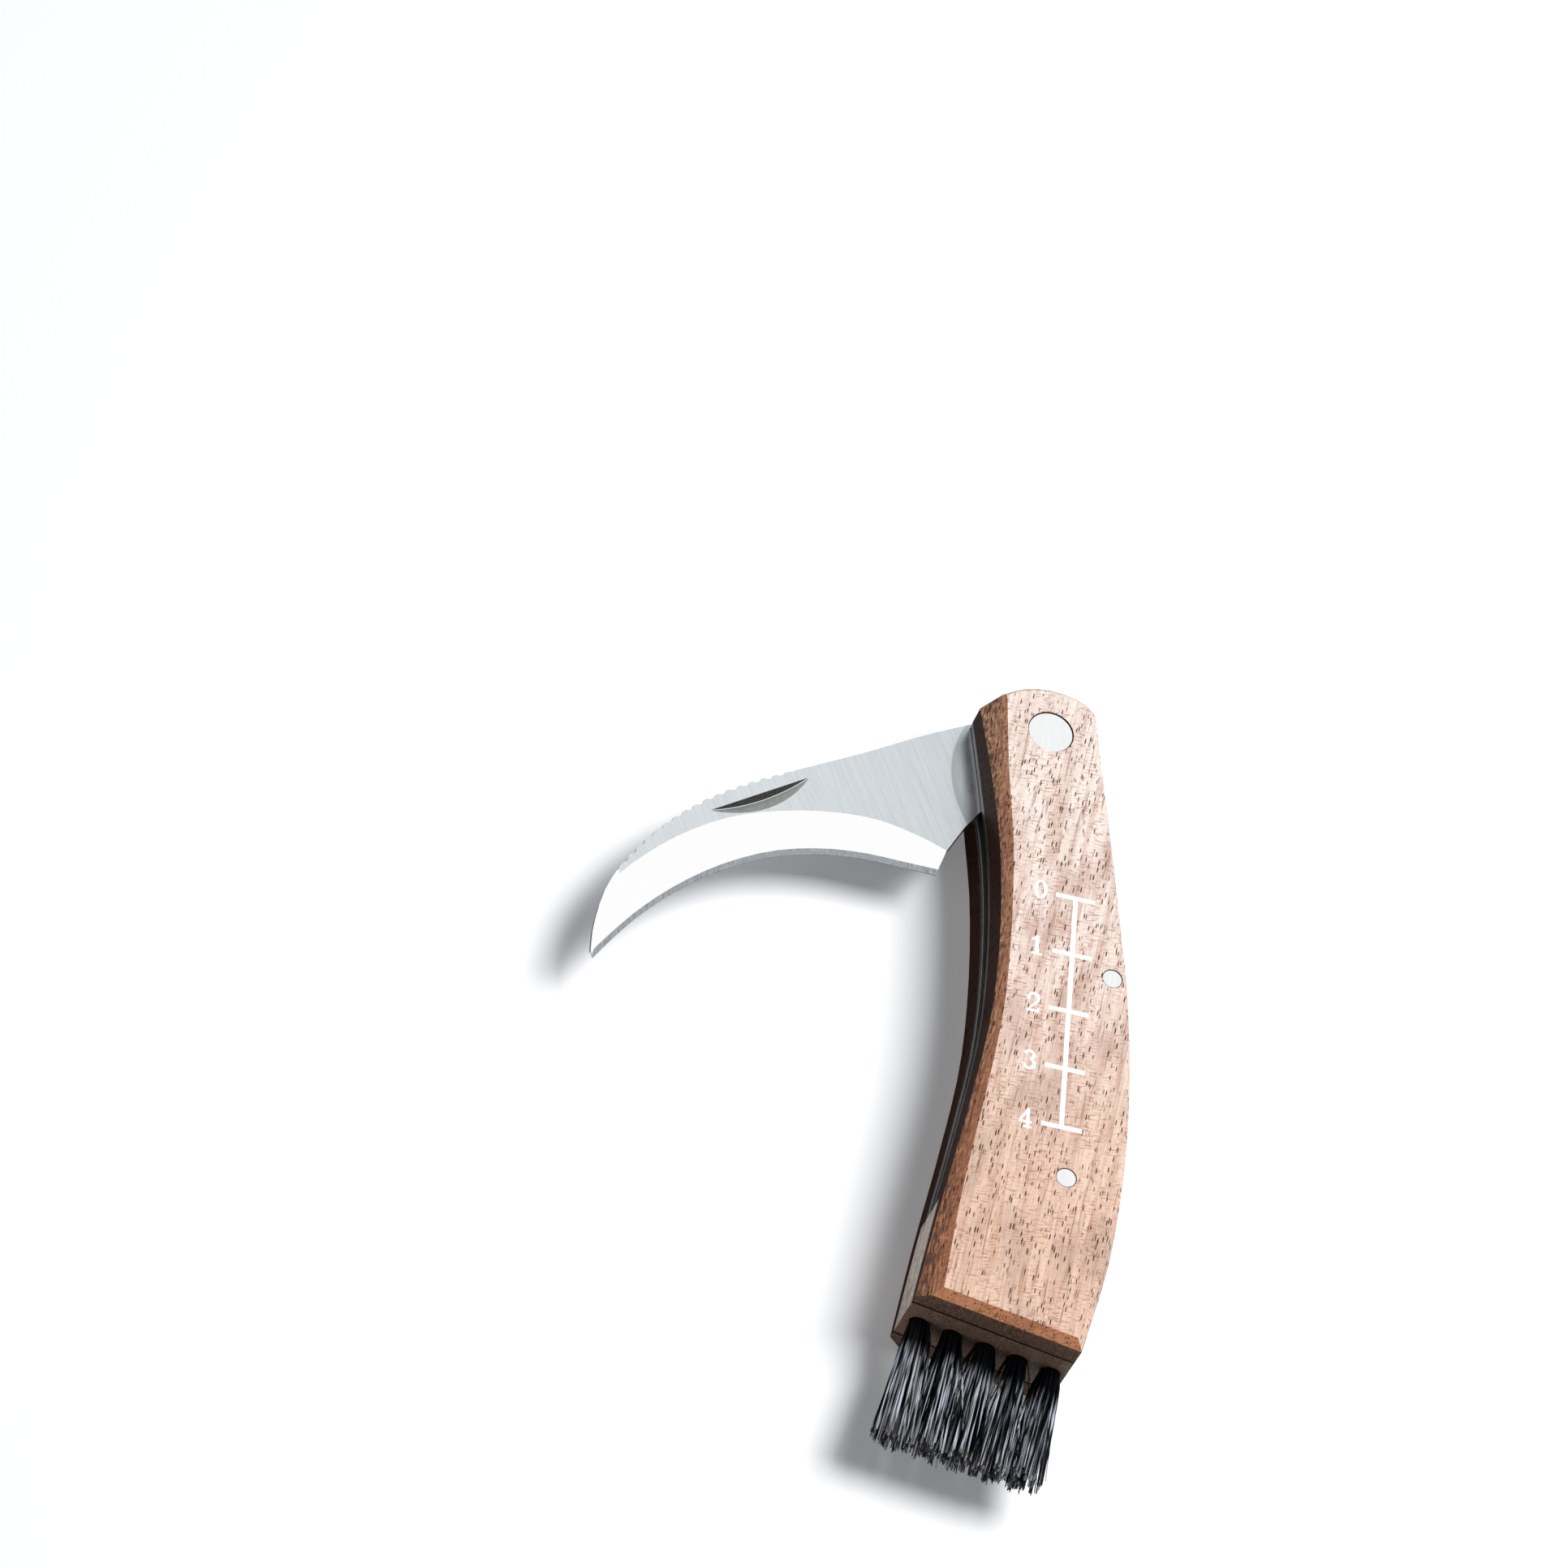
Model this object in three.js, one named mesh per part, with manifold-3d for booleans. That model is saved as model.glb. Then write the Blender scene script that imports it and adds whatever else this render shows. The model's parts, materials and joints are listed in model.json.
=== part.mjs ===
import * as THREE from 'three';
import { mergeVertices } from 'three/addons/utils/BufferGeometryUtils.js';
import Module from 'manifold-3d';

// Folding mushroom knife: a curved blade, walnut scales over steel liners and a brush in the handle's end.
// Millimetres. Plans are drawn with the blade pivot at zero, +Y towards the nose and the hollow side at -X.
// Heights are measured from the knife's middle plane. The blade stands part open.

// Handle sizes
const HANDLE_REACH = 102.7;
const HANDLE_BREADTH = 24.4;
const SCALE_THICKNESS = 7;
const LINER_THICKNESS = 1.1;
const END_TILT_DEGREES = 10.15;
const HOLLOW_FACET = 1.35;
const EDGE_CHAMFER = 0.5;
const END_CHAMFER = 1.24;

// Blade sizes
const BLADE_REACH = 82.9;
const BLADE_THICKNESS = 2;
const EDGE_SHOULDER_THICKNESS = 0.56;
const EDGE_LAND_THICKNESS = 0.12;
const EDGE_BEVEL_WIDTH = 1;
const TANG_RADIUS = 5;
const TANG_SHOULDER_REACH = 8;
const OPEN_TURN_DEGREES = 112;
const CLOSED_TURN_DEGREES = 47;
const SERRATION_COUNT = 18;
const SERRATION_DEPTH = 0.38;
const SERRATION_RADIUS = 0.85;
const NICK_HEIGHT = 2.72;
const NICK_DEPTH = 0.6;

// Pivot, washers, pins and back spring
const PIVOT_RADIUS = 2;
const CAP_RADIUS = 3.54;
const CAP_THICKNESS = 1.2;
const CAP_SINK = 0.15;
const CAP_CHAMFER = 0.2;
const WASHER_RADIUS = 4.2;
const WASHER_THICKNESS = 0.12;
const PIN_RADIUS = 1.5;
const PIN_SINK = 0.05;
const REAR_PIN_INSET = 7.75;
const SPRING_LAND = 3.3;
const HEEL_CLEARANCE = 0.4;
const RUNNING_GAP = 0.04;
const HOLE_GAP = 0.1;
const SEAM_GAP = 0.3;

// Brush sizes
const BLOCK_LENGTH = 18;
const BLOCK_THICKNESS = 9.2;
const TUFT_COUNT = 5;
const TUFT_PITCH = 5.03;
const TUFT_ROW_OFFSET = -1.15;
const TUFT_HOLE_RADIUS = 1.5;
const TUFT_ROOT_DEPTH = 3;
const ROOT_SLICE_THICKNESS = 1;
const STRANDS_PER_TUFT = 80;
const STRAND_RADIUS = 0.085;
const STRAND_EMBED = 0.3;
const BRISTLE_LENGTH = 19.6;
const TIP_SPREAD = 6.3;

// Fineness of round and curved faces
const ROUND_SEGMENTS = 32;
const SCALLOP_SEGMENTS = 24;
const SIDE_STEPS = 22;
const NOSE_STEPS = 12;
const BLADE_STEPS = 26;
const SPRING_STEPS = 20;
const NICK_STEPS = 12;
const STRAND_SIDES = 3;

const OVERRUN = 2;
const MERGE_DISTANCE = 1e-5;

const SLOT_WIDTH = BLADE_THICKNESS + 2 * (WASHER_THICKNESS + 2 * RUNNING_GAP);
const SLOT_HALF = SLOT_WIDTH / 2;
const LINER_TOP = SLOT_HALF + LINER_THICKNESS;
const FACE_HEIGHT = LINER_TOP + SCALE_THICKNESS;
const BLOCK_HALF = BLOCK_THICKNESS / 2;

// Outline of the handle, as shares of its breadth and reach, with the facet's width as a share of its narrowest
const HOLLOW_SIDE_SHARES = [
  [-0.43, 0.036, 2.5], [-0.336, -0.088, 1.55], [-0.254, -0.217, 1.2], [-0.219, -0.37, 1],
  [-0.238, -0.506, 1.05], [-0.332, -0.662, 1.25], [-0.447, -0.818, 1.65], [-0.553, -0.976, 2.4],
];
const BACK_SIDE_SHARES = [
  [0.447, -1.0185, 2.6], [0.574, -0.876, 1.9], [0.631, -0.74, 1.3], [0.641, -0.604, 1], [0.598, -0.438, 1],
  [0.516, -0.297, 1], [0.42, -0.149, 1], [0.346, -0.041, 1], [0.285, 0.051, 1],
];
const NOSE_SHARES = [
  [0.285, 0.051, 1], [0.197, 0.068, 1], [0, 0.0774, 1], [-0.193, 0.068, 1], [-0.324, 0.0497, 1],
  [-0.43, 0.036, 1],
];
const SPRING_PIN_SHARES = [0.488, -0.407];
const REAR_PIN_SHARE = 0.0883;
const REST_POINT_SHARES = [0.19, -0.5];

// Stations of the blade from the tang to the tip, as shares of its reach: spine, grind line and cutting edge
const SPINE_SHARES = [
  [-0.129, 0.048], [-0.217, -0.002], [-0.3187, -0.0663], [-0.4211, -0.1263], [-0.52, -0.1846],
  [-0.604, -0.2469], [-0.6793, -0.325], [-0.732, -0.4029], [-0.766, -0.4797], [-0.7801, -0.5609],
  [-0.7799, -0.6152],
];
const GRIND_SHARES = [
  [-0.1526, -0.241], [-0.205, -0.223], [-0.289, -0.2076], [-0.385, -0.216], [-0.48, -0.2413], [-0.563, -0.278],
  [-0.642, -0.334], [-0.709, -0.4004], [-0.7604, -0.4717], [-0.7766, -0.5597], [-0.7778, -0.615],
];
const EDGE_SHARES = [
  [-0.167, -0.2913], [-0.229, -0.2912], [-0.308, -0.2922], [-0.3875, -0.3044], [-0.4747, -0.334],
  [-0.5613, -0.385], [-0.635, -0.447], [-0.6958, -0.5133], [-0.7386, -0.5723], [-0.7615, -0.6078],
  [-0.7744, -0.6285],
];
const KICK_SHARES = [[-0.121, -0.1785], [-0.093, -0.136], [-0.066, -0.099]];
const TAPER_START_SHARE = 0.6;
const TIP_THICKNESS_SHARE = 0.45;
const SERRATION_START_SHARE = 0.382;
const SERRATION_END_SHARE = 0.813;
const SERRATION_RUN_IN_SHARE = 0.4;
const NICK_START_SHARES = [-0.4183, -0.1488];
const NICK_END_SHARES = [-0.5971, -0.2711];
const NICK_MARGIN_SHARE = 0.02;
const NICK_CREASE_SHARE = 0.34;
const NICK_RUNOUT_SHARE = 0.3;
const TANG_KICK_DEGREES = 238;

const FACET_DROP_SHARE = 0.95;
const SPRING_FRONT_SHARE = 0.7;
const SPRING_HOLD_SHARE = 0.8;
const ROOT_SPREAD_SHARE = 0.73;
const TIP_PITCH_SHARE = 0.47;
const TIP_SLANT_SHARE = 0.035;
const TIP_RAGGED_SHARE = 0.02;
const SLICE_DROP_SHARE = 1.15;

const COLOURS = {
  walnut: 0xb98a68, darkWalnut: 0x6f4a33, steel: 0xb9bfc4, blade: 0xc9ced2, bronze: 0x9c7a4c,
  nylon: 0x15161a,
};
const FINISHES = {
  walnut: [0.62, 0], darkWalnut: [0.7, 0], steel: [0.4, 1], blade: [0.28, 1], bronze: [0.45, 1], nylon: [0.45, 0],
};

const wasm = await Module();
wasm.setup();

const degrees = THREE.MathUtils.degToRad;

// Plans

function onHandle([x, y]) {
  return new THREE.Vector2(x * HANDLE_BREADTH, y * HANDLE_REACH);
}

function onBlade([x, y]) {
  return new THREE.Vector2(x * BLADE_REACH, y * BLADE_REACH);
}

function polar(radius, angle) {
  return new THREE.Vector2(radius * Math.cos(angle), radius * Math.sin(angle));
}

function turned(point, angle) {
  return point.clone().rotateAround(new THREE.Vector2(), angle);
}

// The brush end's own axes: along is across the handle, inward is towards the nose
const END_TILT = degrees(END_TILT_DEGREES);
const END_CENTRE = new THREE.Vector2(0, -HANDLE_REACH);
const ALONG = new THREE.Vector2(Math.cos(END_TILT), -Math.sin(END_TILT));
const INWARD = new THREE.Vector2(Math.sin(END_TILT), Math.cos(END_TILT));

function onEnd(along, inward) {
  return END_CENTRE.clone().addScaledVector(ALONG, along).addScaledVector(INWARD, inward);
}

function endBand(fromInward, toInward) {
  const reach = HANDLE_BREADTH;
  return [
    onEnd(-reach, fromInward), onEnd(reach, fromInward),
    onEnd(reach, toInward), onEnd(-reach, toInward),
  ];
}

// One side of the handle as points that carry the width of their facet
function side(rows, facet, steps) {
  const stations = rows.map(([x, y, width]) => {
    const place = onHandle([x, y]);
    return new THREE.Vector3(place.x, place.y, width * facet);
  });
  return new THREE.CatmullRomCurve3(stations, false, 'centripetal').getPoints(steps);
}

// The last station of a side, moved along its own X onto the brush end
function metAtEnd(rows, index) {
  const copy = rows.map((row) => [...row]);
  const x = copy[index][0] * HANDLE_BREADTH;
  copy[index][1] = -1 - (x * Math.tan(END_TILT)) / HANDLE_REACH;
  return copy;
}

const hollowSide = side(metAtEnd(HOLLOW_SIDE_SHARES, HOLLOW_SIDE_SHARES.length - 1), HOLLOW_FACET, SIDE_STEPS);
const backSide = side(metAtEnd(BACK_SIDE_SHARES, 0), EDGE_CHAMFER, SIDE_STEPS);
const noseSide = side(NOSE_SHARES, EDGE_CHAMFER, NOSE_STEPS);
const endSide = [hollowSide.at(-1), backSide[0]].map(({ x, y }) => new THREE.Vector3(x, y, END_CHAMFER));
const handleOutline = [...hollowSide, ...backSide, ...noseSide.slice(1, -1)]
  .map(({ x, y }) => new THREE.Vector2(x, y));

const springPin = onHandle(SPRING_PIN_SHARES);
const rearPin = onEnd(REAR_PIN_SHARE * HANDLE_BREADTH, BLOCK_LENGTH + SEAM_GAP + REAR_PIN_INSET);
const pivot = new THREE.Vector2();

// Solids

function solid(geometry) {
  const bare = geometry.index ? geometry.toNonIndexed() : geometry.clone();
  bare.deleteAttribute('normal');
  bare.deleteAttribute('uv');
  const merged = mergeVertices(bare, MERGE_DISTANCE);
  const mesh = new wasm.Mesh({
    numProp: 3,
    vertProperties: merged.attributes.position.array,
    triVerts: new Uint32Array(merged.index.array),
  });
  return new wasm.Manifold(mesh);
}

function geometryOf(manifold) {
  const mesh = manifold.getMesh();
  const geometry = new THREE.BufferGeometry();
  geometry.setAttribute('position', new THREE.BufferAttribute(mesh.vertProperties, 3));
  geometry.setIndex(new THREE.BufferAttribute(mesh.triVerts, 1));
  const faceted = geometry.toNonIndexed();
  faceted.computeVertexNormals();
  return faceted;
}

function prism(plan, low, high) {
  const geometry = new THREE.ExtrudeGeometry(new THREE.Shape(plan), { depth: high - low, bevelEnabled: false });
  return solid(geometry.translate(0, 0, low));
}

function circle(centre, radius, segments = ROUND_SEGMENTS) {
  return Array.from({ length: segments }, (_, i) => polar(radius, (i / segments) * 2 * Math.PI).add(centre));
}

function post(centre, radius, low, high, segments) {
  return prism(circle(centre, radius, segments), low, high);
}

// A solid through like rings of points, closed at both ends, whichever way the rings run
function loft(rings) {
  const size = rings[0].length;
  const triangles = [];
  for (let r = 0; r + 1 < rings.length; r++) {
    for (let i = 0; i < size; i++) {
      const j = (i + 1) % size;
      triangles.push([rings[r][i], rings[r][j], rings[r + 1][j]]);
      triangles.push([rings[r][i], rings[r + 1][j], rings[r + 1][i]]);
    }
  }
  const last = rings.at(-1);
  for (let i = 1; i + 1 < size; i++) {
    triangles.push([rings[0][0], rings[0][i + 1], rings[0][i]], [last[0], last[i], last[i + 1]]);
  }
  const volume = triangles.reduce((sum, [a, b, c]) => sum + a.dot(b.clone().cross(c)), 0);
  const outward = volume < 0 ? triangles.map(([a, b, c]) => [a, c, b]) : triangles;
  return solid(new THREE.BufferGeometry().setFromPoints(outward.flat()));
}

// The wedge that planes a facet along one side of the handle's marked face
function facetCutter(points, dropShare) {
  const before = points[0].clone().lerp(points[1], -1);
  const after = points.at(-1).clone().lerp(points.at(-2), -1);
  const line = [before, ...points, after];
  line[0].z = points[0].z;
  line[line.length - 1].z = points.at(-1).z;
  const rings = line.map((point, i) => {
    const from = line[Math.max(i - 1, 0)];
    const to = line[Math.min(i + 1, line.length - 1)];
    const outward = new THREE.Vector3(to.y - from.y, from.x - to.x, 0).normalize();
    const wall = new THREE.Vector3(point.x, point.y, FACE_HEIGHT - point.z * dropShare);
    const face = new THREE.Vector3(point.x, point.y, FACE_HEIGHT).addScaledVector(outward, -point.z);
    const slope = wall.clone().sub(face).normalize();
    const low = wall.clone().addScaledVector(slope, OVERRUN);
    const high = face.clone().addScaledVector(slope, -OVERRUN);
    const lift = FACE_HEIGHT + 2 * OVERRUN;
    return [low, high, new THREE.Vector3(high.x, high.y, lift), new THREE.Vector3(low.x, low.y, lift)];
  });
  return loft(rings);
}

function part(name, shape, finish, mirrored = false) {
  const [roughness, metalness] = FINISHES[finish];
  const material = new THREE.MeshStandardMaterial({ color: COLOURS[finish], roughness, metalness });
  const mesh = new THREE.Mesh(geometryOf(shape), material);
  mesh.name = name;
  if (mirrored) mesh.scale.z = -1;
  return mesh;
}

// Handle pieces

function makeScale() {
  const pinRadius = PIN_RADIUS + HOLE_GAP;
  const capSeat = FACE_HEIGHT - CAP_SINK - CAP_THICKNESS;
  return [
    facetCutter(hollowSide, FACET_DROP_SHARE),
    facetCutter(backSide, FACET_DROP_SHARE),
    facetCutter(noseSide, FACET_DROP_SHARE),
    facetCutter(endSide, 1),
    prism(endBand(-OVERRUN, BLOCK_LENGTH + SEAM_GAP), 0, BLOCK_HALF),
    post(pivot, PIVOT_RADIUS + HOLE_GAP, 0, FACE_HEIGHT + OVERRUN),
    post(pivot, CAP_RADIUS + HOLE_GAP, capSeat, FACE_HEIGHT + OVERRUN),
    post(springPin, pinRadius, 0, FACE_HEIGHT + OVERRUN),
    post(rearPin, pinRadius, 0, FACE_HEIGHT + OVERRUN),
  ].reduce((scale, cut) => scale.subtract(cut), prism(handleOutline, LINER_TOP, FACE_HEIGHT));
}

function makeLiner() {
  return prism(handleOutline, SLOT_HALF, LINER_TOP)
    .subtract(prism(endBand(-OVERRUN, BLOCK_LENGTH + SEAM_GAP), 0, FACE_HEIGHT))
    .subtract(post(pivot, PIVOT_RADIUS + HOLE_GAP, 0, FACE_HEIGHT))
    .subtract(post(springPin, PIN_RADIUS + HOLE_GAP, 0, FACE_HEIGHT))
    .subtract(post(rearPin, PIN_RADIUS + HOLE_GAP, 0, FACE_HEIGHT));
}

// The spring lies along the back, clear of the tang in front and of the heel when the blade is folded
function makeBackSpring() {
  const inner = TANG_RADIUS + SEAM_GAP;
  const front = TANG_RADIUS * SPRING_FRONT_SHARE;
  const foldedHeel = turned(onBlade(EDGE_SHARES[0]), degrees(CLOSED_TURN_DEGREES));
  const innerEdge = new THREE.CatmullRomCurve3([
    new THREE.Vector3(inner, -TANG_RADIUS * SPRING_HOLD_SHARE, 0),
    new THREE.Vector3(foldedHeel.x + HEEL_CLEARANCE, foldedHeel.y, 0),
    new THREE.Vector3(springPin.x - SPRING_LAND, springPin.y, 0),
    new THREE.Vector3(rearPin.x - SPRING_LAND, rearPin.y, 0),
    new THREE.Vector3(rearPin.x - SPRING_LAND, -HANDLE_REACH, 0),
  ], false, 'centripetal').getPoints(SPRING_STEPS).map(({ x, y }) => new THREE.Vector2(x, y));
  const zone = [
    new THREE.Vector2(HANDLE_BREADTH, front),
    new THREE.Vector2(inner, front),
    ...innerEdge,
    new THREE.Vector2(HANDLE_BREADTH, -HANDLE_REACH),
  ];
  return prism(handleOutline, -SLOT_HALF, SLOT_HALF)
    .intersect(prism(zone, -SLOT_WIDTH, SLOT_WIDTH))
    .subtract(prism(endBand(-OVERRUN, BLOCK_LENGTH + SEAM_GAP), -SLOT_WIDTH, SLOT_WIDTH))
    .subtract(post(springPin, PIN_RADIUS + HOLE_GAP, -SLOT_WIDTH, SLOT_WIDTH))
    .subtract(post(rearPin, PIN_RADIUS + HOLE_GAP, -SLOT_WIDTH, SLOT_WIDTH));
}

function makePivotCap() {
  const low = FACE_HEIGHT - CAP_SINK - CAP_THICKNESS;
  const profile = [
    new THREE.Vector2(0, 0),
    new THREE.Vector2(CAP_RADIUS, 0),
    new THREE.Vector2(CAP_RADIUS, CAP_THICKNESS - CAP_CHAMFER),
    new THREE.Vector2(CAP_RADIUS - CAP_CHAMFER, CAP_THICKNESS),
    new THREE.Vector2(0, CAP_THICKNESS),
  ];
  const lathe = new THREE.LatheGeometry(profile, ROUND_SEGMENTS);
  return solid(lathe.rotateX(Math.PI / 2).translate(0, 0, low));
}

function makePivotPin() {
  const seat = FACE_HEIGHT - CAP_SINK - CAP_THICKNESS;
  return post(pivot, PIVOT_RADIUS, -seat, seat);
}

function makeWasher() {
  const low = BLADE_THICKNESS / 2 + RUNNING_GAP;
  return post(pivot, WASHER_RADIUS, low, low + WASHER_THICKNESS)
    .subtract(post(pivot, PIVOT_RADIUS + HOLE_GAP, 0, FACE_HEIGHT));
}

function makePin(centre) {
  const end = FACE_HEIGHT - PIN_SINK;
  return post(centre, PIN_RADIUS, -end, end);
}

// Blade

function bladeCurve(shares) {
  return new THREE.SplineCurve(shares.map(onBlade)).getPoints(BLADE_STEPS);
}

function taper(t) {
  const past = Math.max(t - TAPER_START_SHARE, 0) / (1 - TAPER_START_SHARE);
  return THREE.MathUtils.lerp(1, TIP_THICKNESS_SHARE, past);
}

function makeGroundBlade(spine, grind, edge) {
  const rings = spine.map((spinePoint, i) => {
    const body = (BLADE_THICKNESS / 2) * taper(i / BLADE_STEPS);
    const back = grind[i].clone().sub(edge[i]);
    const bevel = edge[i].clone().addScaledVector(back, Math.min(EDGE_BEVEL_WIDTH / back.length(), 1 / 2));
    const half = [
      [spinePoint, body],
      [grind[i], body],
      [bevel, EDGE_SHOULDER_THICKNESS / 2],
      [edge[i], EDGE_LAND_THICKNESS / 2],
    ];
    const upper = half.map(([point, height]) => new THREE.Vector3(point.x, point.y, height));
    const lower = half.map(([point, height]) => new THREE.Vector3(point.x, point.y, -height)).reverse();
    return [...upper, ...lower];
  });
  return loft(rings);
}

// The round tang, its kick towards the heel and the shoulder that meets the spring when the blade is open
function makeTang(spine, grind) {
  const shoulderHeight = TANG_RADIUS * SPRING_FRONT_SHARE + SEAM_GAP;
  const shoulderPoint = (reach) =>
    new THREE.Vector2(Math.sqrt(reach ** 2 - shoulderHeight ** 2), shoulderHeight);
  const toRest = degrees(OPEN_TURN_DEGREES);
  const shoulderOut = shoulderPoint(TANG_SHOULDER_REACH);
  const shoulderIn = shoulderPoint(TANG_RADIUS);
  const start = turned(shoulderIn, toRest).angle();
  const end = degrees(TANG_KICK_DEGREES) - 2 * Math.PI;
  const arc = Array.from({ length: ROUND_SEGMENTS + 1 }, (_, i) =>
    polar(TANG_RADIUS, THREE.MathUtils.lerp(start, end, i / ROUND_SEGMENTS)));
  const plan = [
    spine[2], spine[1], spine[0],
    turned(shoulderOut, toRest),
    ...arc,
    ...KICK_SHARES.map(onBlade).reverse(),
    grind[0], grind[1], grind[2],
  ];
  return prism(plan, -BLADE_THICKNESS / 2, BLADE_THICKNESS / 2);
}

// Round cuts along the spine that grow shallow at both ends of the row
function makeSerrationCuts() {
  const spine = new THREE.SplineCurve(SPINE_SHARES.map(onBlade));
  const last = SERRATION_COUNT - 1;
  return Array.from({ length: SERRATION_COUNT }, (_, i) => {
    const share = THREE.MathUtils.lerp(SERRATION_START_SHARE, SERRATION_END_SHARE, i / last);
    const fromEnd = Math.min(i, last - i) + 1;
    const depth = SERRATION_DEPTH * Math.min(fromEnd * SERRATION_RUN_IN_SHARE, 1);
    const tangent = spine.getTangentAt(share);
    const outward = new THREE.Vector2(tangent.y, -tangent.x);
    const centre = spine.getPointAt(share).addScaledVector(outward, SERRATION_RADIUS - depth);
    return post(centre, SERRATION_RADIUS, -BLADE_THICKNESS, BLADE_THICKNESS, SCALLOP_SEGMENTS);
  });
}

// The nail nick is a groove: a short slope from its straight edge to a crease, and a longer one out of it
function makeNailNick() {
  const face = BLADE_THICKNESS / 2;
  const top = face + OVERRUN;
  const start = onBlade(NICK_START_SHARES);
  const finish = onBlade(NICK_END_SHARES);
  const chord = finish.clone().sub(start).normalize();
  const towardsEdge = new THREE.Vector2(-chord.y, chord.x);
  const rings = Array.from({ length: NICK_STEPS + 1 }, (_, i) => {
    const along = THREE.MathUtils.lerp(NICK_MARGIN_SHARE, 1 - NICK_MARGIN_SHARE, i / NICK_STEPS);
    const swell = 1 - (2 * along - 1) ** 2;
    const height = NICK_HEIGHT * swell;
    const toCrease = height * NICK_CREASE_SHARE;
    const depth = NICK_DEPTH * swell;
    const rise = depth * NICK_RUNOUT_SHARE;
    const straight = start.clone().lerp(finish, along);
    const crease = straight.clone().addScaledVector(towardsEdge, toCrease);
    const upper = crease.clone().addScaledVector(towardsEdge, -toCrease * (1 + NICK_RUNOUT_SHARE));
    const lower = crease.clone().addScaledVector(towardsEdge, (height - toCrease) * (1 + NICK_RUNOUT_SHARE));
    return [
      new THREE.Vector3(upper.x, upper.y, face + rise),
      new THREE.Vector3(crease.x, crease.y, face - depth),
      new THREE.Vector3(lower.x, lower.y, face + rise),
      new THREE.Vector3(lower.x, lower.y, top),
      new THREE.Vector3(upper.x, upper.y, top),
    ];
  });
  return loft(rings);
}

function makeBlade() {
  const spine = bladeCurve(SPINE_SHARES);
  const grind = bladeCurve(GRIND_SHARES);
  const edge = bladeCurve(EDGE_SHARES);
  const pivotHole = post(pivot, PIVOT_RADIUS + HOLE_GAP, -OVERRUN, OVERRUN);
  const cuts = [...makeSerrationCuts(), makeNailNick(), pivotHole];
  const whole = makeGroundBlade(spine, grind, edge).add(makeTang(spine, grind));
  return cuts.reduce((blade, cut) => blade.subtract(cut), whole);
}

// Brush

function tuftCentre(index) {
  return TUFT_ROW_OFFSET + (index - (TUFT_COUNT - 1) / 2) * TUFT_PITCH;
}

// The slice that holds the tufts drops into a pocket that crosses the bottoms of their holes
function rootSlice(gap) {
  const reach = (TUFT_COUNT - 1) / 2 * TUFT_PITCH + TUFT_HOLE_RADIUS;
  const low = TUFT_ROOT_DEPTH - gap;
  const high = TUFT_ROOT_DEPTH + ROOT_SLICE_THICKNESS + gap;
  const left = TUFT_ROW_OFFSET - reach - gap;
  const right = TUFT_ROW_OFFSET + reach + gap;
  return [onEnd(left, low), onEnd(right, low), onEnd(right, high), onEnd(left, high)];
}

function makeBrushBlock() {
  const pocketLow = -TUFT_HOLE_RADIUS * SLICE_DROP_SHARE - SEAM_GAP;
  const holes = Array.from({ length: TUFT_COUNT }, (_, i) => {
    const rings = [-OVERRUN, TUFT_ROOT_DEPTH].map((inward) =>
      circle(pivot, TUFT_HOLE_RADIUS).map(({ x, y }) => {
        const place = onEnd(tuftCentre(i) + x, inward);
        return new THREE.Vector3(place.x, place.y, y);
      }));
    return loft(rings);
  });
  const block = prism(handleOutline, -BLOCK_HALF, BLOCK_HALF)
    .intersect(prism(endBand(-OVERRUN, BLOCK_LENGTH), -BLOCK_THICKNESS, BLOCK_THICKNESS))
    .subtract(prism(rootSlice(SEAM_GAP), pocketLow, BLOCK_THICKNESS));
  return holes.reduce((rest, hole) => rest.subtract(hole), block);
}

// One strand runs straight from the slice to its tip, and the tuft widens evenly so that no strands cross
function strand(tuft, index) {
  const goldenAngle = Math.PI * (3 - Math.sqrt(5));
  const place = polar(Math.sqrt((index + 1 / 2) / STRANDS_PER_TUFT), index * goldenAngle);
  const rootSpread = TUFT_HOLE_RADIUS * ROOT_SPREAD_SHARE;
  const slant = tuftCentre(tuft) * TIP_SLANT_SHARE;
  const ragged = BRISTLE_LENGTH * TIP_RAGGED_SHARE * Math.sin(index * index);
  const ends = [
    { inward: TUFT_ROOT_DEPTH + STRAND_EMBED, across: rootSpread, deep: rootSpread },
    { inward: slant + ragged - BRISTLE_LENGTH, across: TUFT_PITCH * TIP_PITCH_SHARE, deep: TIP_SPREAD / 2 },
  ];
  const rings = ends.map(({ inward, across, deep }) => {
    const point = onEnd(tuftCentre(tuft) + place.x * across, inward);
    return circle(pivot, STRAND_RADIUS, STRAND_SIDES).map(({ x, y }) =>
      new THREE.Vector3(point.x + ALONG.x * x, point.y + ALONG.y * x, place.y * deep + y));
  });
  return loft(rings);
}

function makeBristles() {
  const sliceLow = -TUFT_HOLE_RADIUS * SLICE_DROP_SHARE;
  const strands = Array.from({ length: TUFT_COUNT * STRANDS_PER_TUFT }, (_, i) =>
    strand(Math.floor(i / STRANDS_PER_TUFT), i % STRANDS_PER_TUFT));
  return strands.reduce((row, one) => row.add(one), prism(rootSlice(0), sliceLow, BLOCK_HALF - SEAM_GAP));
}

// Assembly, with the lower face on zero height and the origin under the middle of the grip

const restPoint = onHandle(REST_POINT_SHARES);
const knife = new THREE.Group();
knife.position.set(-restPoint.x, -restPoint.y, FACE_HEIGHT);

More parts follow.
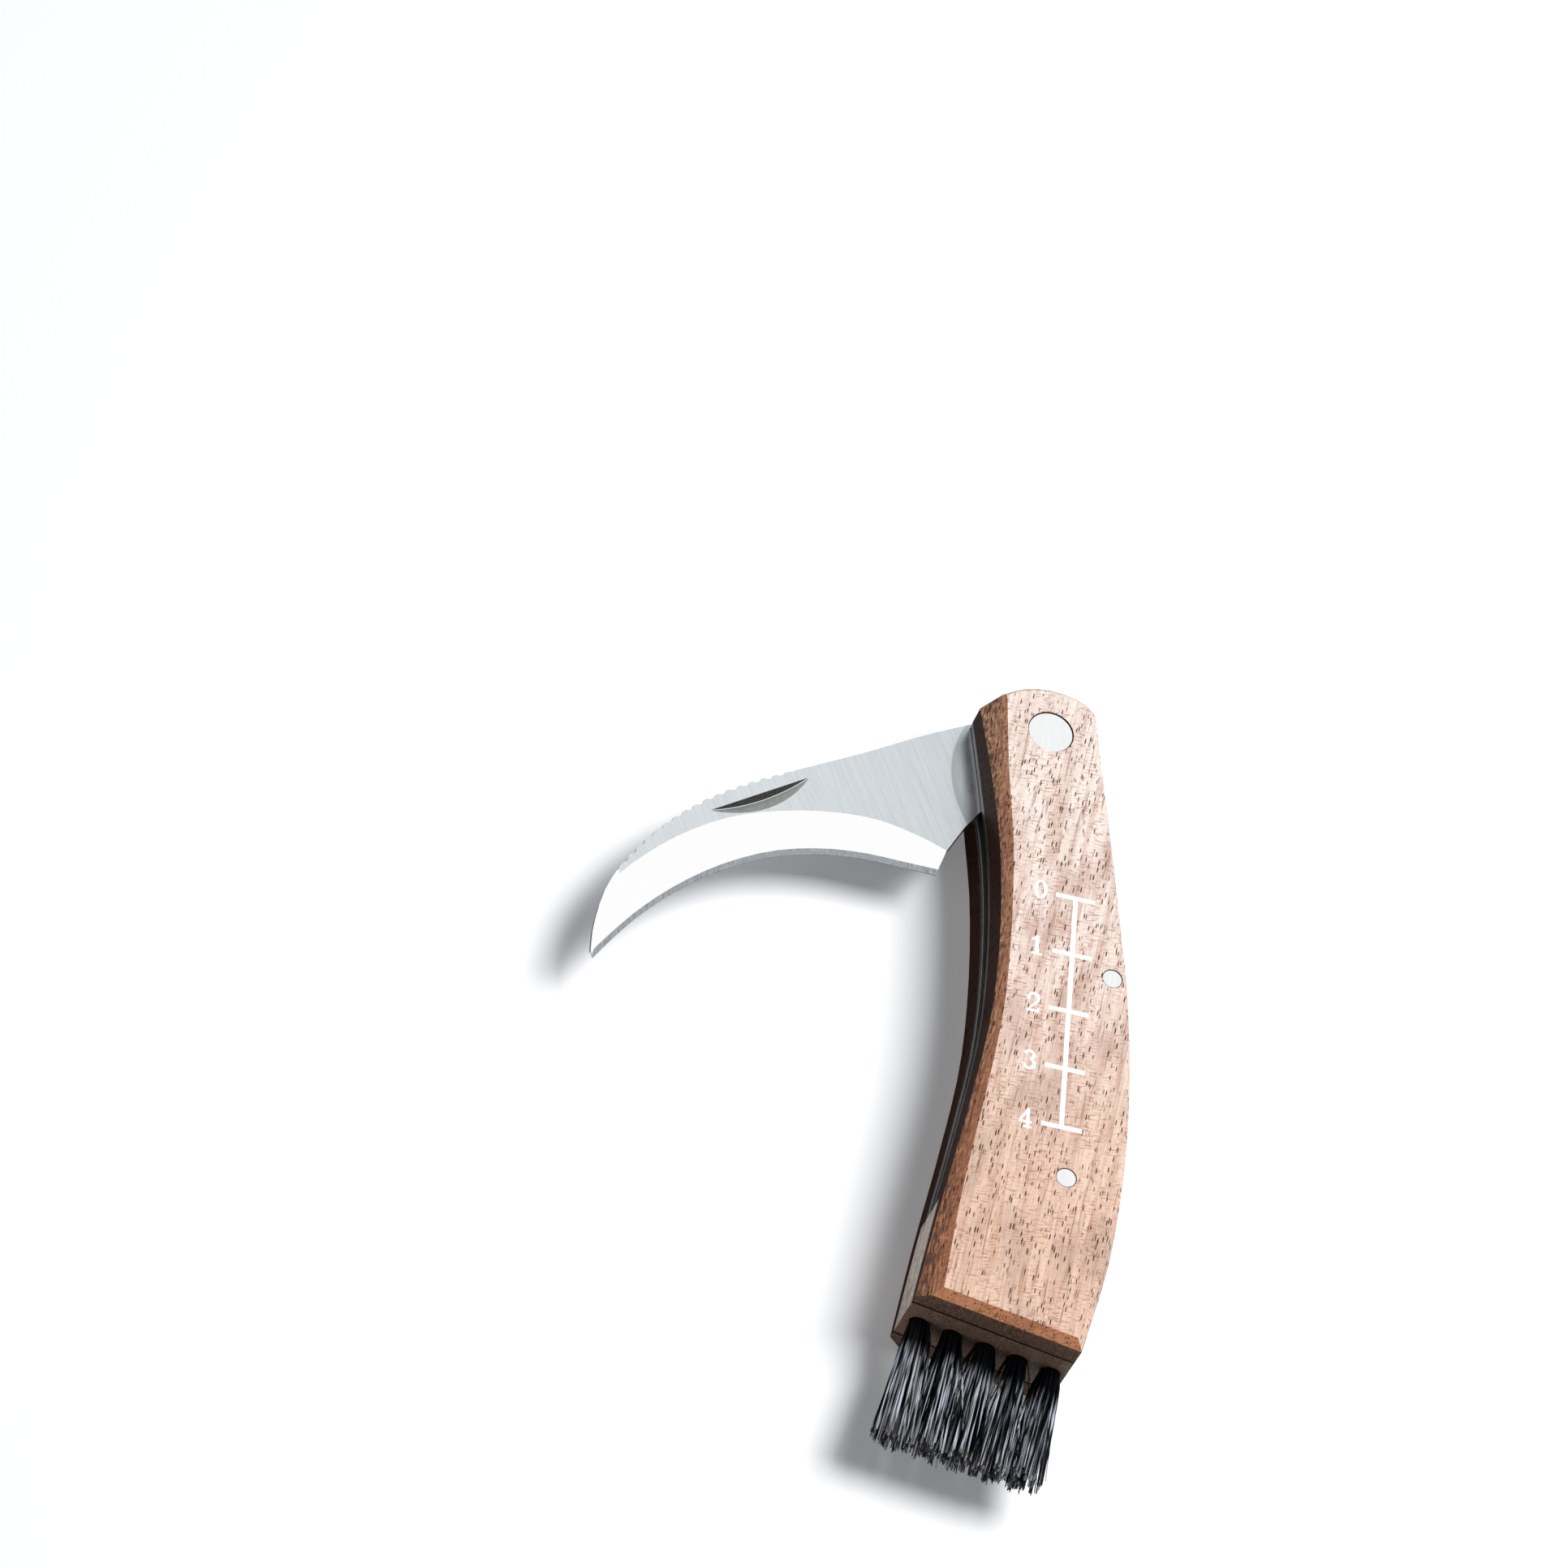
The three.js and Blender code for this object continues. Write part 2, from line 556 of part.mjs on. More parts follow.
const scale = makeScale();
const liner = makeLiner();
const cap = makePivotCap();
const washer = makeWasher();
knife.add(
  part('upper_scale', scale, 'walnut'),
  part('lower_scale', scale, 'walnut', true),
  part('upper_liner', liner, 'steel'),
  part('lower_liner', liner, 'steel', true),
  part('back_spring', makeBackSpring(), 'steel'),
  part('pivot_pin', makePivotPin(), 'steel'),
  part('upper_pivot_cap', cap, 'steel'),
  part('lower_pivot_cap', cap, 'steel', true),
  part('upper_pivot_washer', washer, 'bronze'),
  part('lower_pivot_washer', washer, 'bronze', true),
  part('spring_pin', makePin(springPin), 'steel'),
  part('rear_pin', makePin(rearPin), 'steel'),
  part('blade', makeBlade(), 'blade'),
  part('brush_block', makeBrushBlock(), 'darkWalnut'),
  part('bristles', makeBristles(), 'nylon'),
);

const assembly = new THREE.Group();
assembly.add(knife);

export default assembly;
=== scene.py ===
import json
import math
import random

import bmesh
import bpy
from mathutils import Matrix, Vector

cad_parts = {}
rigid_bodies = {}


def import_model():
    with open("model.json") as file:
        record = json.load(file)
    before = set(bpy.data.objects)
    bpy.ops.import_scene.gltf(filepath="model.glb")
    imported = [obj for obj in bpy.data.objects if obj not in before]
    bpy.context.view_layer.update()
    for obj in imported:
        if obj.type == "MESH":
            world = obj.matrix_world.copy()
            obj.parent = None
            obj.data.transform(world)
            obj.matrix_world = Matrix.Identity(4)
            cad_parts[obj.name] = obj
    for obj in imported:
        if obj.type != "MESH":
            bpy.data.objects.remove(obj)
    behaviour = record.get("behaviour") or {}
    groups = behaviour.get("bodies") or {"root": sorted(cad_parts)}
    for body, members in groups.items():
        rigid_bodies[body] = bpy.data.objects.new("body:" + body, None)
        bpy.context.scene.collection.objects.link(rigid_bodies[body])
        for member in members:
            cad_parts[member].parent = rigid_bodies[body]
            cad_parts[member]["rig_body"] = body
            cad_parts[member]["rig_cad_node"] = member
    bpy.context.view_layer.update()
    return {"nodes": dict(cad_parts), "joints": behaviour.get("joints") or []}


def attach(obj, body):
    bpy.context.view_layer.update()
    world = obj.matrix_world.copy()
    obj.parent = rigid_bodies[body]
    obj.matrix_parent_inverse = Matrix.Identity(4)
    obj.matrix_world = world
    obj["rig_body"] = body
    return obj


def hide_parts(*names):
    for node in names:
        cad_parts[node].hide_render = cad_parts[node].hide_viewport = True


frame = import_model()


# Camera
# A long lens above the brush end, a little to the left of the knife, as the knife was photographed.
# Its place and turn were fitted once, so that the knife lies in the picture as in the photograph.
CAMERA_PLACE = (-0.1933437, -0.4535426, 0.6901944)
CAMERA_TURNS = (33.97236752, -15.68224606, 4.83015582)
CAMERA_LENS = 130.435
bpy.ops.object.camera_add(location=CAMERA_PLACE)
camera = bpy.context.object
camera.name = "product_camera"
camera.rotation_euler = [math.radians(turn) for turn in CAMERA_TURNS]
camera.data.lens = CAMERA_LENS
camera.data.sensor_width = 36
camera.data.clip_start = 0.01
bpy.context.scene.camera = camera
bpy.context.scene.view_settings.view_transform = "Standard"


# Walnut scales and brush block
# Two handle halves sawn and sanded from one walnut board, with planed facets, riveted over the liners.
# The block between them at the end carries the brush. Edges are broken by hand sanding, so they are round.
MM = 0.001
PIVOT = Vector(frame["joints"][0]["pos_m"])
HALF_HEIGHT = PIVOT.z
PIN_PLACES = {"spring_pin": (11.907, -41.799), "rear_pin": (6.71, -77.436)}
PIVOT_CAP_RADIUS = 3.54
PIN_RADIUS = 1.5
HOLE_MARGIN = 0.4
BROKEN_EDGE = 0.14
SOFT_EDGE = 0.4
SOFT_EDGE_HEIGHT = 5.5
HOLLOW_RIM_X = 1.8
HOLLOW_MIDDLE_Y = -50
HOLLOW_BOW = 0.0025
END_FACET_Y = -97
END_TURN = 10.15
END_TILT = math.radians(END_TURN)
OUTWARD = Vector((-math.sin(END_TILT), -math.cos(END_TILT), 0))
ALONG_HANDLE = (0.18, 0.98, 0)
TO_HOLLOW = (-0.95, -0.2, 0)
SEAM_HEIGHT = 4.6
SEAM_START = 82.6
SEAM_FULL = 83
GRAIN_LEAN = -0.14
PATCH_WIDTH = 5
PATCH_LENGTH = 12
PATCH_START = (5, 2, 0)
FIBRE_LIMIT_SHARE = 0.52
PORE_EDGE = 0.1


def at(x, y, height=0.0):
    """A point given in millimetres from the blade's pivot and the handle's middle plane."""
    return PIVOT + Vector((x, y, height)) * MM


def linear(code):
    """A linear colour from an sRGB hex code."""
    parts = [int(code[i:i + 2], 16) / 255 for i in (1, 3, 5)]
    return [c / 12.92 if c <= 0.04045 else ((c + 0.055) / 1.055) ** 2.4 for c in parts] + [1.0]


def only(piece):
    """Selects this piece alone and makes it active."""
    bpy.ops.object.select_all(action="DESELECT")
    piece.select_set(True)
    bpy.context.view_layer.objects.active = piece


def pick_faces(piece, wanted):
    """In edit mode, selects just the faces for which wanted is true."""
    bpy.ops.mesh.select_mode(type="FACE")
    bpy.ops.mesh.select_all(action="DESELECT")
    shape = bmesh.from_edit_mesh(piece.data)
    for face in shape.faces:
        if wanted(face):
            face.select_set(True)
    bmesh.update_edit_mesh(piece.data)


def merged_copy(node, name):
    """A copy of a CAD node whose loose triangles are joined into whole faces."""
    source = frame["nodes"][node]
    piece = source.copy()
    piece.data = source.data.copy()
    bpy.context.collection.objects.link(piece)
    piece.name = piece.data.name = name
    piece.parent = None
    del piece["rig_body"], piece["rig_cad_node"]
    piece.data.materials.clear()
    only(piece)
    bpy.ops.object.mode_set(mode="EDIT")
    bpy.ops.mesh.select_all(action="SELECT")
    bpy.ops.mesh.remove_doubles(threshold=0.002 * MM)
    bpy.ops.mesh.dissolve_limited(angle_limit=math.radians(0.3))
    bpy.ops.mesh.select_all(action="DESELECT")
    bpy.ops.object.mode_set(mode="OBJECT")
    return piece


def ease_edges(piece, width, sharpness, chosen, segments=2):
    """Rounds by a width in millimetres those of the piece's sharp edges whose middle is chosen."""
    only(piece)
    bpy.ops.object.mode_set(mode="EDIT")
    bpy.ops.mesh.select_mode(type="EDGE")
    bpy.ops.mesh.select_all(action="DESELECT")
    bpy.ops.mesh.edges_select_sharp(sharpness=math.radians(sharpness))
    shape = bmesh.from_edit_mesh(piece.data)
    for edge in shape.edges:
        middle = (edge.verts[0].co + edge.verts[1].co) / 2
        if not chosen((middle - PIVOT) / MM):
            edge.select_set(False)
    bmesh.update_edit_mesh(piece.data)
    bpy.ops.mesh.bevel(offset=width * MM, segments=segments, affect="EDGES", clamp_overlap=True)
    bpy.ops.mesh.select_all(action="DESELECT")
    bpy.ops.object.mode_set(mode="OBJECT")


def clear_of_holes(middle):
    """Whether a point in millimetres from the pivot lies clear of the holes for the cap and the pins."""
    holes = [((0, 0), PIVOT_CAP_RADIUS)] + [(place, PIN_RADIUS) for place in PIN_PLACES.values()]
    return all((middle.xy - Vector(centre)).length > radius + HOLE_MARGIN for centre, radius in holes)


def on_soft_edge(middle):
    """Whether a point lies on a facet's edge in the hollow or at the brush end, rounded more by hand."""
    hollow_rim = HOLLOW_RIM_X - HOLLOW_BOW * (middle.y - HOLLOW_MIDDLE_Y) ** 2
    on_facet = middle.x < hollow_rim or middle.y < END_FACET_Y
    return on_facet and abs(middle.z) > SOFT_EDGE_HEIGHT and clear_of_holes(middle)


def on_plain_edge(middle):
    """Whether a point lies on one of the other edges, clear of the holes."""
    return clear_of_holes(middle) and not on_soft_edge(middle)


def smooth(piece, angle):
    """Smooth shading up to an angle in degrees, with flat faces kept flat."""
    only(piece)
    bpy.ops.object.shade_smooth_by_angle(angle=math.radians(angle))
    weights = piece.modifiers.new("flat_faces_first", "WEIGHTED_NORMAL")
    weights.keep_sharp = True
    bpy.ops.object.modifier_apply(modifier=weights.name)


def add_node(material, kind, sockets=None, **settings):
    """A shader node with its settings, and its sockets given a value or linked from another's output."""
    made = material.node_tree.nodes.new("ShaderNode" + kind)
    for name, value in settings.items():
        setattr(made, name, value)
    for name, value in (sockets or {}).items():
        if isinstance(value, bpy.types.NodeSocket):
            material.node_tree.links.new(value, made.inputs[name])
        else:
            made.inputs[name].default_value = value
    return made


def new_material(name):
    """An empty material and its output node."""
    material = bpy.data.materials.new(name)
    material.use_nodes = True
    material.node_tree.nodes.clear()
    return material, add_node(material, "OutputMaterial")


def millimetres(material):
    """Places on the piece in millimetres from the blade's pivot."""
    place = add_node(material, "TexCoord").outputs["Object"]
    from_pivot = add_node(material, "VectorMath", {0: place, 1: PIVOT}, operation="SUBTRACT").outputs[0]
    return add_node(material, "VectorMath", {0: from_pivot, "Scale": 1 / MM}, operation="SCALE").outputs[0]


def streaks(material, place, width, length, turn=0, start=(0, 0, 0), **sockets):
    """Soft streaks as wide and long as given, along Y turned by turn degrees: figure and fibres in wood,
    abrasive lines in steel, glints in nylon."""
    cells = add_node(material, "Mapping", {"Vector": place, "Location": start,
                     "Rotation": (0, 0, math.radians(turn)), "Scale": (width, length, width)},
                     vector_type="TEXTURE")
    return add_node(material, "TexNoise", {"Vector": cells.outputs[0], "Scale": 1, **sockets}).outputs["Fac"]


def walnut(name, light, warm, dark, grey, wall_shade_share, wall_gloss):
    """Oiled walnut: pale warm tan with faint darker figure, many short open pores along the grain and fine
    cross ripple. Typical wood: IOR 1.5, roughness 0.4 to 0.6. Its sides take wall_shade_share of a painted
    shade."""
    material, output = new_material(name)
    in_mm = millimetres(material)
    spot = add_node(material, "SeparateXYZ", {"Vector": in_mm})
    # The board's grain is straight and runs 8 degrees across the handle's length
    across_grain = add_node(material, "Math", {0: spot.outputs["Y"], 1: GRAIN_LEAN, 2: spot.outputs["X"]},
                            operation="MULTIPLY_ADD")
    grain = add_node(material, "CombineXYZ", {"X": across_grain.outputs[0], "Y": spot.outputs["Y"],
                     "Z": spot.outputs["Z"]}).outputs[0]
    # Figure: soft streaks 1.3 mm wide and some 25 mm long and broader grey-brown patches. By the pivot the
    # patches are weaker and the tone paler as painted sheen, so the wood is warmer towards the brush
    figure = streaks(material, grain, 1.3, 26, Detail=4, Roughness=0.6, Distortion=0.2)
    figure_share = add_node(material, "MapRange", {"Value": figure, "From Min": 0.42, "From Max": 0.7,
                            "To Max": 0.4}, interpolation_type="SMOOTHSTEP")
    patches = streaks(material, grain, PATCH_WIDTH, PATCH_LENGTH, start=PATCH_START, Detail=2)
    pivot_sheen_limit = add_node(material, "MapRange", {"Value": spot.outputs["Y"], "From Min": -8, "From Max": -34,
                           "To Min": 0.2, "To Max": 0.7}, interpolation_type="SMOOTHSTEP")
    patch_share = add_node(material, "MapRange", {"Value": patches, "From Min": 0.46, "From Max": 0.68,
                           "To Max": pivot_sheen_limit.outputs[0]}, interpolation_type="SMOOTHSTEP")
    sheen_fade = add_node(material, "MapRange", {"Value": spot.outputs["Y"], "From Min": -25, "From Max": -90},
                      interpolation_type="SMOOTHSTEP")
    pale = add_node(material, "Mix", {0: sheen_fade.outputs[0], 6: linear(light), 7: linear(warm)},
                    data_type="RGBA")
    figured = add_node(material, "Mix", {0: figure_share.outputs[0], 6: pale.outputs[2], 7: linear(dark)},
                       data_type="RGBA")
    tinted = add_node(material, "Mix", {0: patch_share.outputs[0], 6: figured.outputs[2], 7: linear(grey)},
                      data_type="RGBA")
    # Fibres, also weaker by the pivot under the painted sheen. Real ones are a few hundredths of a millimetre
    # wide, drawn here 0.2 mm wide so that they show
    fibres = streaks(material, grain, 0.2, 4.5, Detail=2)
    fibre_limit = add_node(material, "Math", {0: pivot_sheen_limit.outputs[0], 1: FIBRE_LIMIT_SHARE},
                           operation="MULTIPLY")
    fibre_share = add_node(material, "MapRange", {"Value": fibres, "From Min": 0.35, "From Max": 0.7,
                           "To Max": fibre_limit.outputs[0]})
    fibred = add_node(material, "Mix", {0: fibre_share.outputs[0], 6: tinted.outputs[2], 7: linear(dark)},
                      data_type="RGBA")
    # Vessels: a few darker threads 0.3 mm wide and up to 10 mm long
    vessels = streaks(material, grain, 0.34, 9, Detail=2)
    vessel_share = add_node(material, "MapRange", {"Value": vessels, "From Min": 0.59, "From Max": 0.74,
                            "To Max": 0.7})
    veined = add_node(material, "Mix", {0: vessel_share.outputs[0], 6: fibred.outputs[2],
                      7: linear("#7d5039")}, data_type="RGBA")
    # Ripple: fine short lines across the grain, a quarter of a millimetre apart, stronger in patches
    ripple = streaks(material, grain, 1.3, 0.24, turn=4, Detail=1, Distortion=0.3)
    ripple_patch = streaks(material, grain, PATCH_WIDTH, PATCH_LENGTH, start=PATCH_START, Scale=2.1, Detail=1)
    ripple_where = add_node(material, "MapRange", {"Value": ripple_patch, "From Min": 0.35, "From Max": 0.6,
                            "To Min": 0.25, "To Max": 0.75}, interpolation_type="SMOOTHSTEP")
    ripple_line = add_node(material, "MapRange", {"Value": ripple, "From Min": 0.5, "From Max": 0.68},
                           interpolation_type="SMOOTHSTEP")
    ripple_share = add_node(material, "Math", {0: ripple_line.outputs[0], 1: ripple_where.outputs[0]},
                            operation="MULTIPLY")
    rippled = add_node(material, "Mix", {0: ripple_share.outputs[0], 6: veined.outputs[2], 7: linear(dark)},
                       data_type="RGBA")
    # Pores: dashes up to 0.3 mm wide and 1.5 mm long, of uneven darkness
    pore_cells = add_node(material, "Mapping", {"Vector": grain, "Scale": (0.35, 1.85, 0.35)},
                          vector_type="TEXTURE")
    pores = add_node(material, "TexVoronoi", {"Vector": pore_cells.outputs[0], "Scale": 1})
    crowding = add_node(material, "MapRange", {"Value": patches, "From Min": 0.3, "From Max": 0.7,
                        "To Min": 0.3, "To Max": 0.4})
    pore_edge = add_node(material, "Math", {0: crowding.outputs[0], 1: PORE_EDGE}, operation="SUBTRACT")
    pore_mask = add_node(material, "MapRange", {"Value": pores.outputs["Distance"],
                         "From Min": crowding.outputs[0], "From Max": pore_edge.outputs[0]},
                         interpolation_type="SMOOTHSTEP")
    pore_colour = add_node(material, "SeparateColor", {"Color": pores.outputs["Color"]})
    pore_weight = add_node(material, "MapRange", {"Value": pore_colour.outputs[0], "From Min": 0.26,
                           "From Max": 0.75, "To Max": 0.95})
    pore_share = add_node(material, "Math", {0: pore_mask.outputs[0], 1: pore_weight.outputs[0]},
                          operation="MULTIPLY")
    pored = add_node(material, "Mix", {0: pore_share.outputs[0], 6: rippled.outputs[2],
                     7: linear("#4b2b19")}, data_type="RGBA")
    # The planed facet on the hollow side is painted darker as shade, most towards the wall, with lighter
    # orange flecks painted in as glints. The end's chamfer cuts across the grain, drinks more oil and turns
    # orange-brown
    facing = add_node(material, "TexCoord").outputs["Normal"]
    hollow = add_node(material, "VectorMath", {0: facing, 1: TO_HOLLOW}, operation="DOT_PRODUCT")
    upward = add_node(material, "SeparateXYZ", {"Vector": facing})
    flatness = add_node(material, "Math", {0: upward.outputs["Z"]}, operation="ABSOLUTE")
    hollow_shade = add_node(material, "MapRange", {"Value": hollow.outputs["Value"], "From Min": 0.1,
                       "From Max": 0.5}, interpolation_type="SMOOTHSTEP")
    not_wall = add_node(material, "MapRange", {"Value": flatness.outputs[0], "From Min": 0.45,
                        "From Max": 0.65})
    facet_shade_share = add_node(material, "Math", {0: hollow_shade.outputs[0], 1: not_wall.outputs[0]},
                           operation="MULTIPLY")
    flecks = streaks(material, grain, 0.3, 1.7, Detail=3)
    fleck_share = add_node(material, "MapRange", {"Value": flecks, "From Min": 0.42, "From Max": 0.7})
    from_plane = add_node(material, "Math", {0: spot.outputs["Z"]}, operation="ABSOLUTE")
    facet_shade_fall = add_node(material, "MapRange", {"Value": from_plane.outputs[0], "From Min": 9.1,
                          "From Max": 7.5}, interpolation_type="SMOOTHSTEP")
    facet_shade_base = add_node(material, "Mix", {0: facet_shade_fall.outputs[0], 6: linear("#ad866e"),
                          7: linear("#5b4236")}, data_type="RGBA")
    facet_shade_tone = add_node(material, "Mix", {0: fleck_share.outputs[0], 6: facet_shade_base.outputs[2],
                          7: linear("#e0b592")}, data_type="RGBA")
    faceted = add_node(material, "Mix", {0: facet_shade_share.outputs[0], 6: pored.outputs[2],
                       7: facet_shade_tone.outputs[2]}, data_type="RGBA", blend_type="MULTIPLY")
    endward = add_node(material, "VectorMath", {0: facing, 1: ALONG_HANDLE}, operation="DOT_PRODUCT")
    cut_end = add_node(material, "Math", {0: endward.outputs["Value"]}, operation="ABSOLUTE")
    chamfer_share = add_node(material, "MapRange", {"Value": cut_end.outputs[0], "From Min": 0.45,
                             "From Max": 0.65}, interpolation_type="SMOOTHSTEP")
    chamfered = add_node(material, "Mix", {0: chamfer_share.outputs[0], 6: faceted.outputs[2],
                         7: linear("#e8c4a4")}, data_type="RGBA", blend_type="MULTIPLY")
    # Sawn sides, painted darker as shade and darkest in the hollow, and the cut ends of the grain
    side_shade_tone = add_node(material, "Mix", {0: hollow_shade.outputs[0], 6: linear("#ac9788"),
                         7: linear("#33231d")}, data_type="RGBA")
    side_shade_share = add_node(material, "MapRange", {"Value": flatness.outputs[0], "From Min": 0.6,
                          "From Max": 0.3, "To Max": wall_shade_share}, interpolation_type="SMOOTHSTEP")
    sided = add_node(material, "Mix", {0: side_shade_share.outputs[0], 6: chamfered.outputs[2],
                     7: side_shade_tone.outputs[2]}, data_type="RGBA", blend_type="MULTIPLY")
    end_share = add_node(material, "MapRange", {"Value": cut_end.outputs[0], "From Min": 0.85,
                         "From Max": 0.97, "To Max": 0.85}, interpolation_type="SMOOTHSTEP")
    end_tone = add_node(material, "Mix", {0: fleck_share.outputs[0], 6: linear("#6b5346"),
                        7: linear("#a98d7b")}, data_type="RGBA")
    ended = add_node(material, "Mix", {0: end_share.outputs[0], 6: sided.outputs[2],
                     7: end_tone.outputs[2]}, data_type="RGBA")
    # A dark glue line where the block meets the scales near the brush end
    from_seam = add_node(material, "Math", {0: from_plane.outputs[0], 1: SEAM_HEIGHT}, operation="SUBTRACT")
    seam_distance = add_node(material, "Math", {0: from_seam.outputs[0]}, operation="ABSOLUTE")
    seam_line = add_node(material, "MapRange", {"Value": seam_distance.outputs[0], "From Min": 0.3,
                         "From Max": 0.14, "To Max": 0.95})
    outward = add_node(material, "VectorMath", {0: in_mm, 1: OUTWARD}, operation="DOT_PRODUCT")
    by_block = add_node(material, "MapRange", {"Value": outward.outputs["Value"], "From Min": SEAM_START,
                        "From Max": SEAM_FULL})
    seam_share = add_node(material, "Math", {0: seam_line.outputs[0], 1: by_block.outputs[0]},
                          operation="MULTIPLY")
    seamed = add_node(material, "Mix", {0: seam_share.outputs[0], 6: ended.outputs[2],
                      7: linear("#120a07")}, data_type="RGBA")
    rough = add_node(material, "MapRange", {"Value": pore_share.outputs[0], "To Min": 0.48, "To Max": 0.8})
    gloss = add_node(material, "Mix", {0: side_shade_share.outputs[0], 2: 0.4, 3: wall_gloss})
    relief = add_node(material, "Math", {0: pore_share.outputs[0], 1: fibre_share.outputs[0]},
                      operation="ADD")
    bump = add_node(material, "Bump", {"Height": relief.outputs[0], "Strength": 0.5, "Distance": 0.04 * MM},
                    invert=True)
    shader = add_node(material, "BsdfPrincipled", {"Base Color": seamed.outputs[2],
                      "Roughness": rough.outputs[0], "Normal": bump.outputs[0], "IOR": 1.5,
                      "Specular IOR Level": gloss.outputs[0]})
    material.node_tree.links.new(shader.outputs[0], output.inputs["Surface"])
    return material


# The scales' pale tones are lighter than walnut's own colour, partly a painted sheen, most of all by the
# pivot
oiled_walnut = walnut("oiled_walnut", light="#fff2ea", warm="#f6d7c2", dark="#b28069", grey="#cdb2a5",
                      wall_shade_share=1, wall_gloss=0.05)
# The block's pale tone is partly a painted sheen on its sides
brush_walnut = walnut("oiled_walnut_end_block", light="#f8ebe1", warm="#f8ebe1", dark="#7d5d4c",
                      grey="#cdbcb2", wall_shade_share=0.05, wall_gloss=0.6)
for node, name, material in (("upper_scale", "marked_scale", oiled_walnut),
                             ("lower_scale", "plain_scale", oiled_walnut),
                             ("brush_block", "brush_end_block", brush_walnut)):
    wood = merged_copy(node, name)
    if node != "brush_block":
        ease_edges(wood, SOFT_EDGE, sharpness=18, chosen=on_soft_edge, segments=3)
    ease_edges(wood, BROKEN_EDGE, sharpness=24, chosen=on_plain_edge)
    smooth(wood, angle=25)
    wood.data.materials.append(material)
    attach(wood, "handle")
    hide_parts(node)


# Printed ruler
# A centimetre scale with the numbers 0 to 4 on the sanded face of the upper scale.
# It is a thin layer of white ink, screen printed straight on the wood.
INK_THICKNESS = 0.02
STROKE_DROP = 0.004
RULER_X = 5.5
RULER_TOP_Y = -29.2
TICKS = 5
TICK_SPACING = 10
TICK_HALF = 3.1
LINE_WIDTH = 0.78
NUMBER_X = 0.05
NUMBER_LIFT = 0.3
NUMBER_WIDTH = 2.15
NUMBER_HEIGHT = 3.4
ZERO_SIDE_STROKE = 0.625
ZERO_TOP_STROKE = 0.4


def ring(width, height, centre=(0, 0), steps=40, start=0.0, end=360.0):
    """Points on an oval from one angle to another, in degrees."""
    return [(centre[0] + width / 2 * math.cos(math.radians(start + (end - start) * i / steps)),
             centre[1] + height / 2 * math.sin(math.radians(start + (end - start) * i / steps)))
            for i in range(steps + (end - start < 360))]


def band(points, widths):
    """The outline of a pen stroke along points, as wide at each point as its width."""
    left, right = [], []
    for i, (x, y) in enumerate(points):
        ahead = points[min(i + 1, len(points) - 1)]
        behind = points[max(i - 1, 0)]
        along = Vector((ahead[0] - behind[0], ahead[1] - behind[1])).normalized()
        share = i / (len(points) - 1) * (len(widths) - 1)
        low = min(int(share), len(widths) - 2)
        half = (widths[low] + (widths[low + 1] - widths[low]) * (share - low)) / 2
        left.append((x - along.y * half, y + along.x * half))
        right.append((x + along.y * half, y - along.x * half))
    return left + right[::-1]


def printed(name, outlines, order=0):
    """Flat closed outlines in millimetres from the pivot, as a thin layer of ink on the upper face.
    Where strokes cross, the later one in order lies a few micrometres lower."""
    drawing = bpy.data.curves.new(name, "CURVE")
    drawing.dimensions = "2D"
    drawing.fill_mode = "BOTH"
    drawing.extrude = INK_THICKNESS / 2 * MM
    for outline in outlines:
        line = drawing.splines.new("POLY")
        line.points.add(len(outline) - 1)
        for point, (x, y) in zip(line.points, outline):
            point.co = (x * MM, y * MM, 0, 1)
        line.use_cyclic_u = True
    mark = bpy.data.objects.new(name, drawing)
    bpy.context.collection.objects.link(mark)
    only(mark)
    bpy.ops.object.convert(target="MESH")
    mark.location = at(0, 0, HALF_HEIGHT / MM - STROKE_DROP * order)
    bpy.ops.object.transform_apply(location=True, rotation=True, scale=True)
    return mark


line_half = LINE_WIDTH / 2
comb_left, comb_right = [], []
for tick in range(TICKS):
    middle = RULER_TOP_Y - tick * TICK_SPACING
    for edge in (middle + line_half, middle - line_half):
        inner = [(RULER_X - line_half, edge), (RULER_X - TICK_HALF, edge)]
        comb_left += inner if edge > middle else inner[::-1]
        inner = [(RULER_X + line_half, edge), (RULER_X + TICK_HALF, edge)]
        comb_right += inner if edge > middle else inner[::-1]
ruler_outline = comb_left[1:-1] + comb_right[1:-1][::-1]

